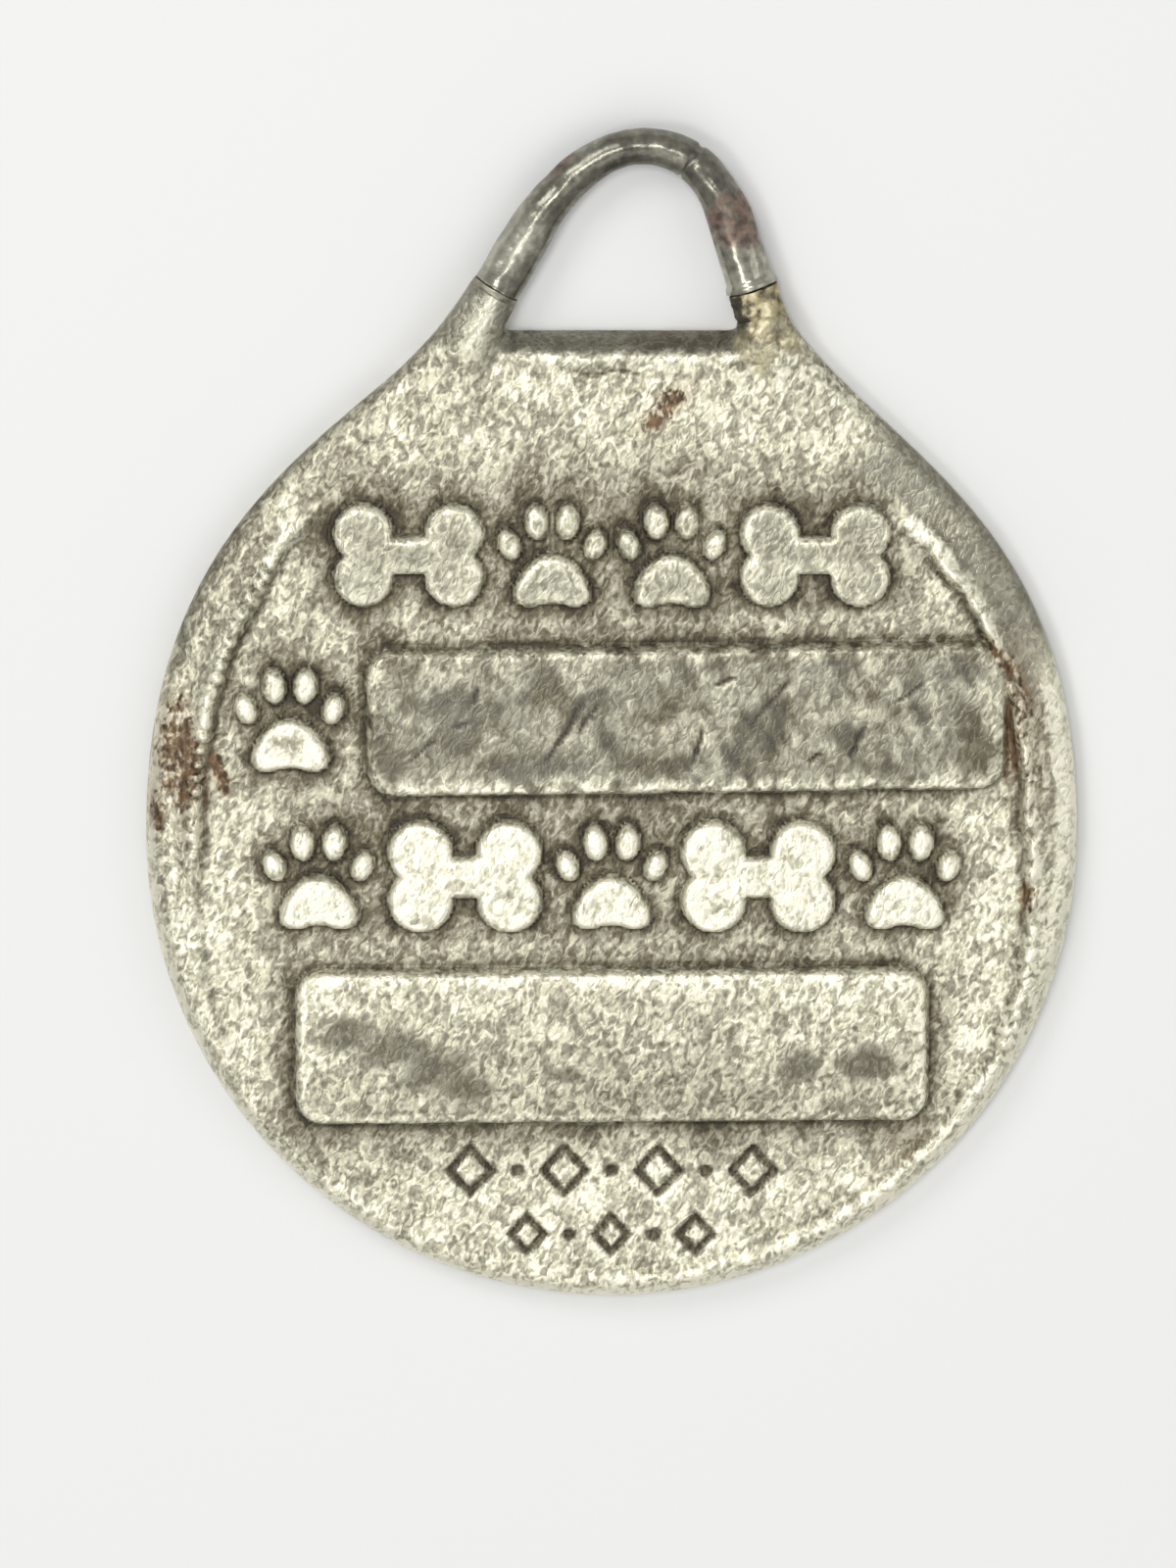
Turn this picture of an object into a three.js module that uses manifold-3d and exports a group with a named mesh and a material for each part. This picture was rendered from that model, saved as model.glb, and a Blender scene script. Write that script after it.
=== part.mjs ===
// A cast pewter dog collar medal with a wire bail, lying on its back.
// Millimetres. The origin is the centre of the disc on the flat back.
// +Z comes out of the face and +Y points to the bail.
import * as THREE from "three";
import { mergeVertices } from "three/addons/utils/BufferGeometryUtils.js";
import Module from "manifold-3d";

const wasm = await Module();
wasm.setup();

// The casting: a disc whose upper half swells into two shoulders.
const discRadius = 15.875;
const discDrop = 16.15;
const fieldHeight = 1.35;
const edgeLandLow = 0.4;
const edgeLandHigh = 0.75;
const backEdgeRound = 0.3;
const faceEdgeRound = 0.65;
const shoulderFullness = 9;
const edgeStep = 0.05;
const sideSteps = 40;
const outlineSteps = 190;

// The top edge is the base of the eye.
// Below each end of it, the waist is the hollow between a shoulder and its horn.
const eyeBaseHeight = 17.4;
const topCornerRadius = 0.9;
const rightTop = { halfWidth: 6.5, waistHalfWidth: 8.1, waistBelowTop: 2.0, waistSlope: 44 };
const leftTop = { halfWidth: 6.15, waistHalfWidth: 7.7, waistBelowTop: 1.75, waistSlope: 40 };
const waistReach = 5;

// The base of the eye is drafted: its wall leans back from a low edge.
const eyeLandLow = 0.2;
const eyeLandHigh = 0.32;
const eyeWallStart = THREE.MathUtils.degToRad(72);
const eyeWallFull = THREE.MathUtils.degToRad(77);

// The rim's crest stands far in beside the shoulders and close to the edge round the foot of the disc.
// Its width and its rise change with the height in the disc, from -1 at the foot to 1 at the top.
const rimWidth = 1.65;
const rimLowWidth = 0.65;
const rimNarrowAt = -0.6;
const rimWideAt = 0.1;
const rimCrestRise = 0.42;
const rimLowRise = 0.16;
const rimFullAt = 0.2;
const rimBelly = { inset: 0.5, height: 0.6 };
const rimCrestFlat = 0.12;
const rimInnerSlope = 0.3;
const rimEndAngle = THREE.MathUtils.degToRad(52);
const rimFade = THREE.MathUtils.degToRad(16);

// The raised panels for the name and the number, and the raised motifs.
const reliefRise = 0.55;
const reliefDraft = 0.18;
const reliefRound = 0.2;
const reliefCurveSteps = 7;
const nameGap = 0.05;
const numberGap = 1.35;
const panelCornerRadius = 1.0;
const namePanelHeight = 5.15;
const namePanelCentre = 4.28;
const namePanelTurn = THREE.MathUtils.degToRad(0.8);
const numberPanelHeight = 5.5;
const numberPanelCentre = -7.1;
const numberPanelTurn = THREE.MathUtils.degToRad(0.4);
const rowOneCentre = 9.95;
const rowOneHeight = 3.55;
const rowTwoCentre = 4.3;
const rowTwoHeight = 3.6;
const rowThreeCentre = -1.15;
const rowThreeHeight = 3.95;
const rowOneInset = 0.6;
const rowThreeInset = 2.4;
const motifGap = 0.5;
const boneToPaw = 1.45;
const boneKnob = 0.29;
const boneShaft = 0.66;

// The bail is drawn wire, worn thin at the crown. Each end is turned down to a spigot.
const wireRadius = 0.83;
const crownRadius = 0.62;
const bailLift = 0.12;
const bailHeight = wireRadius + bailLift;
const crownOverBase = 6.28;
const crown = new THREE.Vector2(0.95, eyeBaseHeight + crownOverBase);
const crownReachLeft = 1.4;
const crownReachRight = 1.8;
const spigotRadius = 0.5;
const spigotDepth = 1.2;
const wireSides = 20;
const wireSteps = 44;

// A foot is where one end of the bail meets the casting: seam is the middle of the joint.
const seamOverBase = 1.55;
const leftFoot = {
  seam: new THREE.Vector2(-3.85, eyeBaseHeight + seamOverBase),
  angle: THREE.MathUtils.degToRad(59.5),
  legLength: 2.3,
  bendReach: 1.6,
  solderHeight: 0.2,
  solderBulge: 0,
};
const rightFoot = {
  seam: new THREE.Vector2(4.68, eyeBaseHeight + seamOverBase),
  angle: THREE.MathUtils.degToRad(107.5),
  legLength: 1.9,
  bendReach: 1.9,
  solderHeight: 0.95,
  solderBulge: 0.12,
};

// A horn is the cast stub that rises from a shoulder to a foot, with a blind socket for the spigot.
const hornLip = 0.02;
const hornFlare = 0.28;
const hornTopRadius = wireRadius + hornLip;
const hornRootDepth = 0.35;
const hornBaseBelowSeam = 1.7;
const hornRootBelowSeam = 3.6;
const jointClearance = 0.05;
const socketSides = 16;
const solderBellyShare = 0.4;

function solidOf(geometry) {
  const bare = geometry.clone();
  bare.deleteAttribute("normal");
  bare.deleteAttribute("uv");
  const merged = mergeVertices(bare, 1e-4);
  return new wasm.Manifold(
    new wasm.Mesh({
      numProp: 3,
      vertProperties: merged.attributes.position.array,
      triVerts: new Uint32Array(merged.index.array),
    }),
  );
}

function geometryOf(solid) {
  const mesh = solid.getMesh();
  const geometry = new THREE.BufferGeometry();
  geometry.setAttribute("position", new THREE.BufferAttribute(mesh.vertProperties, 3));
  geometry.setIndex(new THREE.BufferAttribute(mesh.triVerts, 1));
  geometry.computeVertexNormals();
  return geometry;
}

function geometryFrom(points, triangles) {
  const geometry = new THREE.BufferGeometry().setFromPoints(points);
  geometry.setIndex(triangles);
  return geometry;
}

const lerp = THREE.MathUtils.lerp;
const smoothstep = THREE.MathUtils.smoothstep;

function along(angle, distance) {
  return new THREE.Vector2(Math.cos(angle) * distance, Math.sin(angle) * distance);
}

// Half of the casting's outline, up the right side: shoulder, waist and the rounded end of the top edge.
function sideOutline({ halfWidth, waistHalfWidth, waistBelowTop, waistSlope }) {
  const waist = new THREE.Vector2(waistHalfWidth, eyeBaseHeight - waistBelowTop);
  const slope = Math.PI - THREE.MathUtils.degToRad(waistSlope);
  const arriving = waist.clone().sub(along(slope, waistReach));
  const corner = new THREE.Vector2(halfWidth, eyeBaseHeight);
  const turning = waist.clone().add(along(slope, waistBelowTop / 2));
  const side = new THREE.Path();
  side.moveTo(discRadius, 0);
  side.bezierCurveTo(discRadius, shoulderFullness, arriving.x, arriving.y, waist.x, waist.y);
  side.quadraticCurveTo(turning.x, turning.y, corner.x, corner.y - topCornerRadius / 2);
  side.quadraticCurveTo(corner.x, corner.y, corner.x - topCornerRadius, corner.y);
  return side;
}

// The whole outline, anticlockwise: up the right side, down the left, and round the foot of the disc.
function medalOutline() {
  const right = sideOutline(rightTop).getPoints(sideSteps);
  const left = sideOutline(leftTop).getPoints(sideSteps).reverse();
  const lower = new THREE.EllipseCurve(0, 0, discRadius, discDrop, Math.PI, 2 * Math.PI, false);
  const shape = new THREE.Path([
    ...right,
    ...left.map((point) => new THREE.Vector2(-point.x, point.y)),
    ...lower.getPoints(outlineSteps),
  ]);
  shape.closePath();
  return shape.getSpacedPoints(outlineSteps).slice(0, -1);
}

// How far the rim's crest stands inside the edge. rise is the height in the disc, from -1 to 1.
function rimInset(rise) {
  return lerp(rimLowWidth, rimWidth, smoothstep(rise, rimNarrowAt, rimWideAt));
}

// A point of a rounded edge, as [inset, height]: it turns from the edge's upright land to a face.
function edgeRound(reach, land, face, degrees) {
  const turn = THREE.MathUtils.degToRad(degrees);
  return [reach * (1 - Math.cos(turn)), lerp(land, face, Math.sin(turn))];
}

// The edge section at a point of the outline, as [inset, height] pairs from the back to the field.
// The rim has its full share of the section round the disc, and the eye's wall along the top edge.
function edgeSection(point) {
  const above = Math.atan2(point.y, Math.abs(point.x));
  const share = 1 - smoothstep(above, rimEndAngle - rimFade, rimEndAngle);
  const eye = smoothstep(above, eyeWallStart, eyeWallFull);
  const landLow = lerp(edgeLandLow, eyeLandLow, eye);
  const landHigh = lerp(edgeLandHigh, eyeLandHigh, eye);
  const rise = point.y / point.length();
  const crest = fieldHeight + share * lerp(rimLowRise, rimCrestRise, smoothstep(rise, -1, rimFullAt));
  const crestInset = lerp(faceEdgeRound + edgeStep, rimInset(rise), share);
  return [
    edgeRound(backEdgeRound, landLow, 0, 90),
    edgeRound(backEdgeRound, landLow, 0, 45),
    [0, landLow],
    [0, landHigh],
    edgeRound(faceEdgeRound, landHigh, fieldHeight, 30),
    edgeRound(faceEdgeRound, landHigh, fieldHeight, 65),
    [
      lerp(faceEdgeRound, crestInset, share * rimBelly.inset),
      lerp(fieldHeight, crest, share * rimBelly.height),
    ],
    [crestInset, crest],
    [crestInset + lerp(edgeStep, rimCrestFlat, share), crest],
    [crestInset + lerp(2 * edgeStep, rimCrestFlat + rimInnerSlope, share), fieldHeight],
  ];
}

// A plate whose edge section follows its outline, closed by a flat cap on each side.
function plateGeometry(outline, sectionAt) {
  const count = outline.length;
  const rings = outline.map((point, i) => {
    const before = outline[(i + count - 1) % count];
    const after = outline[(i + 1) % count];
    const tangent = after.clone().sub(before).normalize();
    const inward = new THREE.Vector2(-tangent.y, tangent.x);
    return sectionAt(point).map(([inset, height]) => {
      const place = point.clone().addScaledVector(inward, inset);
      return new THREE.Vector3(place.x, place.y, height);
    });
  });
  const levels = rings[0].length;
  const triangles = [];
  for (let i = 0; i < count; i++) {
    const here = i * levels;
    const next = ((i + 1) % count) * levels;
    for (let k = 0; k < levels - 1; k++) {
      triangles.push(here + k, next + k, next + k + 1);
      triangles.push(here + k, next + k + 1, here + k + 1);
    }
  }
  for (const [level, facing] of [
    [0, -1],
    [levels - 1, 1],
  ]) {
    const ring = rings.map((section) => new THREE.Vector2(section[level].x, section[level].y));
    for (const corners of THREE.ShapeUtils.triangulateShape(ring, [])) {
      const turn = THREE.ShapeUtils.area(corners.map((corner) => ring[corner]));
      const ordered = turn * facing > 0 ? corners : [...corners].reverse();
      triangles.push(...ordered.map((corner) => corner * levels + level));
    }
  }
  return geometryFrom(rings.flat(), triangles);
}

// A bar of oval section along a curve in the medal's plane.
// Each station is a distance along the curve with the bar's two half widths there.
function barGeometry(curve, stations, sides) {
  const length = curve.getLength();
  const points = [];
  const triangles = [];
  for (const { at, across, depth } of stations) {
    const share = THREE.MathUtils.clamp(at / length, 0, 1);
    const centre = curve.getPointAt(share);
    const ahead = curve.getTangentAt(share);
    for (let k = 0; k < sides; k++) {
      const turn = (k / sides) * 2 * Math.PI;
      const sideways = across * Math.cos(turn);
      points.push(
        new THREE.Vector3(
          centre.x + ahead.y * sideways,
          centre.y - ahead.x * sideways,
          bailHeight + depth * Math.sin(turn),
        ),
      );
    }
  }
  for (let i = 0; i < stations.length - 1; i++) {
    for (let k = 0; k < sides; k++) {
      const a = i * sides + k;
      const b = i * sides + ((k + 1) % sides);
      triangles.push(a, a + sides, b);
      triangles.push(b, a + sides, b + sides);
    }
  }
  const last = (stations.length - 1) * sides;
  for (let k = 1; k < sides - 1; k++) {
    triangles.push(0, k, k + 1);
    triangles.push(last, last + k + 1, last + k);
  }
  return geometryFrom(points, triangles);
}

// A straight round bar along a foot's axis: distances are measured from the seam, up the bail.
function footBar(foot, stations, sides) {
  const low = stations[0].at;
  const high = stations[stations.length - 1].at;
  const line = new THREE.LineCurve(
    foot.seam.clone().add(along(foot.angle, low)),
    foot.seam.clone().add(along(foot.angle, high)),
  );
  const shifted = stations.map((station) => ({ ...station, at: station.at - low }));
  return barGeometry(line, shifted, sides);
}

function round(at, radius) {
  return { at, across: radius, depth: radius };
}

// The half length of the field's chord at a height, inside the rim's crest.
function fieldChord(height) {
  const inner = discRadius - rimInset(height / discRadius) - rimCrestFlat;
  return Math.sqrt(Math.max(inner * inner - height * height, 0));
}

function roundedRectangle(width, height, radius) {
  const x = width / 2;
  const y = height / 2;
  const shape = new THREE.Shape();
  shape.moveTo(radius - x, -y);
  shape.lineTo(x - radius, -y);
  shape.absarc(x - radius, radius - y, radius, -Math.PI / 2, 0, false);
  shape.absarc(x - radius, y - radius, radius, 0, Math.PI / 2, false);
  shape.absarc(radius - x, y - radius, radius, Math.PI / 2, Math.PI, false);
  shape.absarc(radius - x, radius - y, radius, Math.PI, Math.PI * 1.5, false);
  return shape;
}

// A bone lying along X: a shaft between two pairs of knobs.
// boneKnob is a share of its height, and boneShaft is a share of the knob.
function boneShape(length, height) {
  const knob = height * boneKnob;
  const spread = height / 2 - knob;
  const knobX = length / 2 - knob;
  const shaft = knob * boneShaft;
  const shaftTurn = Math.atan2(spread - shaft, -Math.sqrt(knob * knob - (spread - shaft) ** 2));
  const cleftTurn = Math.atan2(spread, Math.sqrt(knob * knob - spread * spread));
  const full = 2 * Math.PI;
  const shape = new THREE.Shape();
  shape.absarc(knobX, -spread, knob, shaftTurn, full + cleftTurn, false);
  shape.absarc(knobX, spread, knob, -cleftTurn, full - shaftTurn, false);
  shape.absarc(-knobX, spread, knob, Math.PI + shaftTurn - full, Math.PI + cleftTurn, false);
  shape.absarc(-knobX, -spread, knob, Math.PI - cleftTurn, full + Math.PI - shaftTurn, false);
  return shape;
}

function ovalShape(x, y, halfWidth, halfHeight, turn) {
  const shape = new THREE.Shape();
  shape.absellipse(x, y, halfWidth, halfHeight, 0, 2 * Math.PI, false, turn);
  return shape;
}

// A paw print: a broad pad under four toes, drawn in shares of its height.
function pawShapes(height) {
  const at = (x, y) => [x * height, y * height];
  const pad = new THREE.Shape();
  pad.moveTo(...at(0, -0.47));
  pad.bezierCurveTo(...at(0.14, -0.47), ...at(0.2, -0.56), ...at(0.34, -0.47));
  pad.bezierCurveTo(...at(0.46, -0.38), ...at(0.26, 0.02), ...at(0, 0.02));
  pad.bezierCurveTo(...at(-0.26, 0.02), ...at(-0.46, -0.38), ...at(-0.34, -0.47));
  pad.bezierCurveTo(...at(-0.2, -0.56), ...at(-0.14, -0.47), ...at(0, -0.47));
  const toes = [-1, 1].flatMap((side) => [
    ovalShape(side * height * 0.15, height * 0.32, height * 0.12, height * 0.18, -side * 0.1),
    ovalShape(side * height * 0.41, height * 0.1, height * 0.11, height * 0.16, -side * 0.35),
  ]);
  return [pad, ...toes];
}

// Raised work on the field: each shape rises from inside the plate with drafted sides.
function reliefSolid(shape, x, y, turn) {
  const geometry = new THREE.ExtrudeGeometry(shape, {
    depth: fieldHeight / 2 + reliefRise - 2 * reliefRound,
    bevelThickness: reliefRound,
    bevelSize: reliefDraft,
    bevelOffset: -reliefDraft,
    bevelSegments: 1,
    curveSegments: reliefCurveSteps,
  });
  geometry.rotateZ(turn);
  geometry.translate(x, y, fieldHeight / 2 + reliefRound);
  return solidOf(geometry);
}

// The panels have one length, which the number panel takes from the field.
// The name panel runs up to the rim's crest.
const panelLength =
  2 * (fieldChord(numberPanelCentre - numberPanelHeight / 2 + panelCornerRadius) - numberGap);
const nameEnd = fieldChord(namePanelCentre) - nameGap;
const nameStart = nameEnd - panelLength;

function panelSolids() {
  const name = roundedRectangle(panelLength, namePanelHeight, panelCornerRadius);
  const number = roundedRectangle(panelLength, numberPanelHeight, panelCornerRadius);
  return [
    reliefSolid(name, nameEnd - panelLength / 2, namePanelCentre, namePanelTurn),
    reliefSolid(number, 0, numberPanelCentre, numberPanelTurn),
  ];
}

// The motifs of a row share its length: a bone is boneToPaw times as long as a paw.
function motifRow(motifs, halfLength, centre, height) {
  const parts = motifs.map((motif) => (motif === "bone" ? boneToPaw : 1));
  const total = parts.reduce((sum, part) => sum + part, 0);
  const unit = (2 * halfLength - motifGap * (motifs.length - 1)) / total;
  let start = -halfLength;
  return motifs.flatMap((motif, i) => {
    const width = unit * parts[i];
    const middle = start + width / 2;
    const shapes = motif === "bone" ? [boneShape(width, height)] : pawShapes(Math.min(height, width));
    start += width + motifGap;
    return shapes.map((shape) => reliefSolid(shape, middle, centre, 0));
  });
}

// The motifs stand in the spaces that the panels leave.
function motifSolids() {
  const rowOneEnd = fieldChord(rowOneCentre) - rowOneInset;
  const rowThreeEnd = fieldChord(rowThreeCentre) - rowThreeInset;
  const besideName = (nameStart - fieldChord(rowTwoCentre)) / 2;
  return [
    ...motifRow(["bone", "paw", "paw", "bone"], rowOneEnd, rowOneCentre, rowOneHeight),
    ...motifRow(["paw", "bone", "paw", "bone", "paw"], rowThreeEnd, rowThreeCentre, rowThreeHeight),
    ...pawShapes(rowTwoHeight).map((shape) => reliefSolid(shape, besideName, rowTwoCentre, 0)),
  ];
}

// A horn swells from its foot to the shoulder and runs out inside the plate.
function hornSolid(foot) {
  const stations = [
    { at: -hornRootBelowSeam, across: hornTopRadius + hornFlare, depth: hornRootDepth },
    { at: -hornBaseBelowSeam, across: hornTopRadius + hornFlare, depth: hornTopRadius },
    round(-foot.solderHeight - jointClearance, hornTopRadius),
  ];
  return solidOf(footBar(foot, stations, wireSides));
}

function socketSolid(foot) {
  const bottom = -foot.solderHeight - spigotDepth - 2 * jointClearance;
  const radius = spigotRadius + jointClearance;
  return solidOf(footBar(foot, [round(bottom, radius), round(wireRadius, radius)], socketSides));
}

function medalDisc() {
  const cast = [
    ...panelSolids(),
    ...motifSolids(),
    hornSolid(leftFoot),
    hornSolid(rightFoot),
  ].reduce((sum, part) => sum.add(part), solidOf(plateGeometry(medalOutline(), edgeSection)));
  return geometryOf(cast.subtract(socketSolid(leftFoot)).subtract(socketSolid(rightFoot)));
}

// The bail's centre line: a straight leg on each side, joined over the crown by two bends.
function bailCurve() {
  const leftLeg = leftFoot.seam.clone().add(along(leftFoot.angle, leftFoot.legLength));
  const rightLeg = rightFoot.seam.clone().add(along(rightFoot.angle, rightFoot.legLength));
  const curve = new THREE.CurvePath();
  curve.add(new THREE.LineCurve(spigotTip(leftFoot), leftLeg));
  curve.add(
    new THREE.CubicBezierCurve(
      leftLeg,
      leftLeg.clone().add(along(leftFoot.angle, leftFoot.bendReach)),
      new THREE.Vector2(crown.x - crownReachLeft, crown.y),
      crown,
    ),
  );
  curve.add(
    new THREE.CubicBezierCurve(
      crown,
      new THREE.Vector2(crown.x + crownReachRight, crown.y),
      rightLeg.clone().add(along(rightFoot.angle, rightFoot.bendReach)),
      rightLeg,
    ),
  );
  curve.add(new THREE.LineCurve(rightLeg, spigotTip(rightFoot)));
  return curve;
}

function spigotLength(foot) {
  return foot.solderHeight + spigotDepth + jointClearance;
}

function spigotTip(foot) {
  return foot.seam.clone().add(along(foot.angle, -spigotLength(foot)));
}

function bailWire() {
  const curve = bailCurve();
  const length = curve.getLength();
  const start = spigotLength(leftFoot);
  const end = length - spigotLength(rightFoot);
  const stations = [round(0, spigotRadius), round(start, spigotRadius)];
  for (let i = 0; i <= wireSteps; i++) {
    const share = i / wireSteps;
    const worn = Math.sin(share * Math.PI) ** 2;
    stations.push(round(lerp(start, end, share), lerp(wireRadius, crownRadius, worn)));
  }
  stations.push(round(end, spigotRadius), round(length, spigotRadius));
  return barGeometry(curve, stations, wireSides);
}

// Solder fills the joint between a horn and the wire round the spigot.
// It is a film on the left and a built-up mend on the right.
function solderJoint(foot) {
  const low = -foot.solderHeight;
  const high = -jointClearance;
  const belly = lerp(low, high, solderBellyShare);
  const stations = [
    round(low, hornTopRadius),
    { at: belly, across: hornTopRadius + foot.solderBulge, depth: hornTopRadius },
    round(high, wireRadius),
  ];
  return geometryOf(solidOf(footBar(foot, stations, wireSides)).subtract(socketSolid(foot)));
}

function mesh(name, geometry, color, roughness, metalness) {
  const material = new THREE.MeshStandardMaterial({ color, roughness, metalness });
  const made = new THREE.Mesh(geometry, material);
  made.name = name;
  return made;
}

const medal = new THREE.Group();
medal.add(mesh("medal_disc", medalDisc(), 0xa5a18e, 0.5, 0.85));
medal.add(mesh("bail_wire", bailWire(), 0x77756a, 0.32, 0.95));
medal.add(mesh("left_solder_joint", solderJoint(leftFoot), 0x8d8a7b, 0.45, 0.9));
medal.add(mesh("right_solder_joint", solderJoint(rightFoot), 0xa08c5a, 0.5, 0.85));

export default medal;
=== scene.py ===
# A cast pewter dog collar medal with a wire bail, lying on its back.
# Shapes are worked out in millimetres, in the construction's own frame, and become meshes in metres.
import math
from types import SimpleNamespace

import bpy
import numpy as np
from mathutils import Matrix, Vector
from mathutils.geometry import delaunay_2d_cdt


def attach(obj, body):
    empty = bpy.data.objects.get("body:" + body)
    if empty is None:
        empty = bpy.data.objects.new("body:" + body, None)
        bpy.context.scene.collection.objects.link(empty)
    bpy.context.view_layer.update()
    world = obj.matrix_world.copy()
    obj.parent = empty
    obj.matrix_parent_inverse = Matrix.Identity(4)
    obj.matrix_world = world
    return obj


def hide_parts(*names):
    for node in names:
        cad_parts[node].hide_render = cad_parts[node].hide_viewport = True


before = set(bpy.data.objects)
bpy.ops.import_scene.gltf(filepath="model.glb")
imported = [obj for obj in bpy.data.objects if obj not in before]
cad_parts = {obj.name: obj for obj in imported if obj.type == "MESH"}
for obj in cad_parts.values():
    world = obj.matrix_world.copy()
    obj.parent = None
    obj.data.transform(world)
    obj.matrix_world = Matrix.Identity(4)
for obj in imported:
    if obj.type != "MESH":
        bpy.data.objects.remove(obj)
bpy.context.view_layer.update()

MM = 0.001

# The casting: a disc whose upper half swells into two shoulders.
DISC_RADIUS = 15.875
DISC_DROP = 16.15
FIELD_HEIGHT = 1.35
LAND_LOW = 0.4
LAND_HIGH = 0.75
BACK_ROUND = 0.3
FACE_ROUND = 0.65
SHOULDER_FULLNESS = 9.0
EYE_BASE = 17.4
EYE_BASE_LOW = 0.2
EYE_BASE_HIGH = 0.32
WAIST_REACH = 5.0
RIGHT_WAIST = {"half_width": 8.1, "below_top": 2.0, "slope": math.radians(44)}
LEFT_WAIST = {"half_width": 7.7, "below_top": 1.75, "slope": math.radians(40)}
MIRROR = np.array([-1, 1])

# The rim's crest stands inside the edge: far in beside the shoulders, close to the edge round the foot.
RIM_WIDTH = 1.65
RIM_LOW_WIDTH = 0.65
RIM_RISE = 0.42
RIM_LOW_RISE = 0.16
RIM_FLAT = 0.12
RIM_INNER_SLOPE = 0.3
RIM_END = math.radians(52)
RIM_FADE = math.radians(16)
BAND_END = math.radians(60)
BEAD_PITCH = 0.55

# The raised panels and motifs. Grime gathers beside them.
RELIEF_RISE = 0.55
RELIEF_TOP = FIELD_HEIGHT + RELIEF_RISE - 0.04
RELIEF_DRAFT = 0.2
NAME_GAP = 0.05
NUMBER_GAP = 1.35
PANEL_CORNER = 1.0
NAME_PANEL = {"height": 5.15, "centre": 4.28, "turn": math.radians(0.8)}
NUMBER_PANEL = {"height": 5.5, "centre": -7.1, "turn": math.radians(0.4)}
ROW_ONE = {"motifs": ("bone", "paw", "paw", "bone"), "centre": 9.95, "height": 3.55, "inset": 0.6}
ROW_THREE = {"motifs": ("paw", "bone", "paw", "bone", "paw"), "centre": -1.15, "height": 3.95, "inset": 2.4}
SIDE_PAW = {"centre": 4.3, "height": 3.6}
MOTIF_GAP = 0.5
BONE_TO_PAW = 1.45
BONE_KNOB = 0.29
BONE_SHAFT = 0.66
GRIME_REACH = 3
GRIME_WIDTH = 0.95

# A paw print in shares of its height: half of its pad's outline, and the two toes on one side of it
# by place, half width, half height and lean.
PAD_FOOT = [(0, -0.47), (0.14, -0.47), (0.2, -0.56), (0.34, -0.47)]
PAD_TOP = [(0.34, -0.47), (0.46, -0.38), (0.26, 0.02), (0, 0.02)]
TOES = ((0.15, 0.32, 0.12, 0.18, 0.1), (0.41, 0.1, 0.11, 0.16, 0.35))

# How deep the small marks on the face are.
CUT_DEPTH = 0.15
SCRATCH_DEPTH = 0.07
CRACK_DEPTH = 0.07
GROOVE_DEPTH = 0.04
PIT_DEPTH = 0.04
SKIN_DEPTH = 0.014

# Tones, from 0 for grime to 1 for bright metal. Those of a pair run from the first to the second.
FIELD_TONES = (0.71, 0.67)
GRIME_LOSS = 0.49
BAND_TONE = 0.78
UPPER_LEFT_BAND = 0.56
# The upper right band's tone is a painted dark reflection.
UPPER_RIGHT_BAND = 0.46
CREST_TONE = 0.82
NAME_TOP = 0.5
NAME_BORDER = 0.88
NUMBER_TOP = 0.61
NUMBER_BORDER = 0.9
SMUDGE_TONE = 0.27
ROW_ONE_TONES = (0.9, 0.57)
# The raised forms' walls and the eye's wall are darkened as painted shade.
RELIEF_EDGE_TONE = 0.55
EYE_WALL_TONES = (0.44, 0.28)
LEFT_HORN_TONE = 0.47
CUT_TONE = 0.22
SCRATCH_TONE = 0.05
BACK_TONE = 0.66

# The bail is drawn wire, worn thin at the crown.
WIRE_RADIUS = 0.83
CROWN_RADIUS = 0.62
BAIL_HEIGHT = 0.95
CROWN_OVER_BASE = 6.28
SEAM_OVER_BASE = 1.55
CROWN = np.array([0.95, EYE_BASE + CROWN_OVER_BASE])
CROWN_REACH_LEFT = 1.4
CROWN_REACH_RIGHT = 1.8
LEFT_FOOT = {
    "seam": np.array([-3.85, EYE_BASE + SEAM_OVER_BASE]), "angle": math.radians(59.5), "outer": -1,
    "leg": 2.3, "bend": 1.6, "solder": 0.2,
}
RIGHT_FOOT = {
    "seam": np.array([4.68, EYE_BASE + SEAM_OVER_BASE]), "angle": math.radians(107.5), "outer": 1,
    "leg": 1.9, "bend": 1.9, "solder": 0.95,
}
SOOT_PLACE = (3.95, 17.95)
HORN_RADIUS = 0.85
HORN_FLARE = 0.28
HORN_ROOT_DEPTH = 0.35
HORN_BASE = -1.7
HORN_ROOT = -3.6
JOINT_GAP = 0.05
EYE_CORNER = 0.45

# How fine the meshes are. Rings of points follow the casting's edge at these distances inside it.
OUTLINE_STEP = 0.105
FACE_STEP = 0.105
FACE_RINGS = (0.03, 0.09, 0.17, 0.27, 0.39, 0.52)
BACK_STEP = 0.33
BACK_RINGS = (0.06, 0.14, 0.24)
WALL_ROWS = 4
REST_GAP = 0.003


def smooth(start, end, value):
    """Nought before the start, one past the end and an even turn between. The start may be the higher."""
    share = np.clip((value - start) / (end - start), 0, 1)
    return share * share * (3 - 2 * share)


def window(start, full, last, end, value):
    """One from the second place to the third, nought outside the first and the last."""
    return smooth(start, full, value) * smooth(end, last, value)


def hump(away, width):
    """One in the middle, and next to nothing twice the width away from it."""
    return np.exp(-(away / width) ** 2)


def mix(low, high, share):
    return low + (high - low) * share


def soft_max(a, b, blend):
    """The higher of two heights, with a fillet of about the blend's size where they meet."""
    near = np.clip(blend - np.abs(a - b), 0, None) / blend
    return np.maximum(a, b) + near * near * blend / 4


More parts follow.
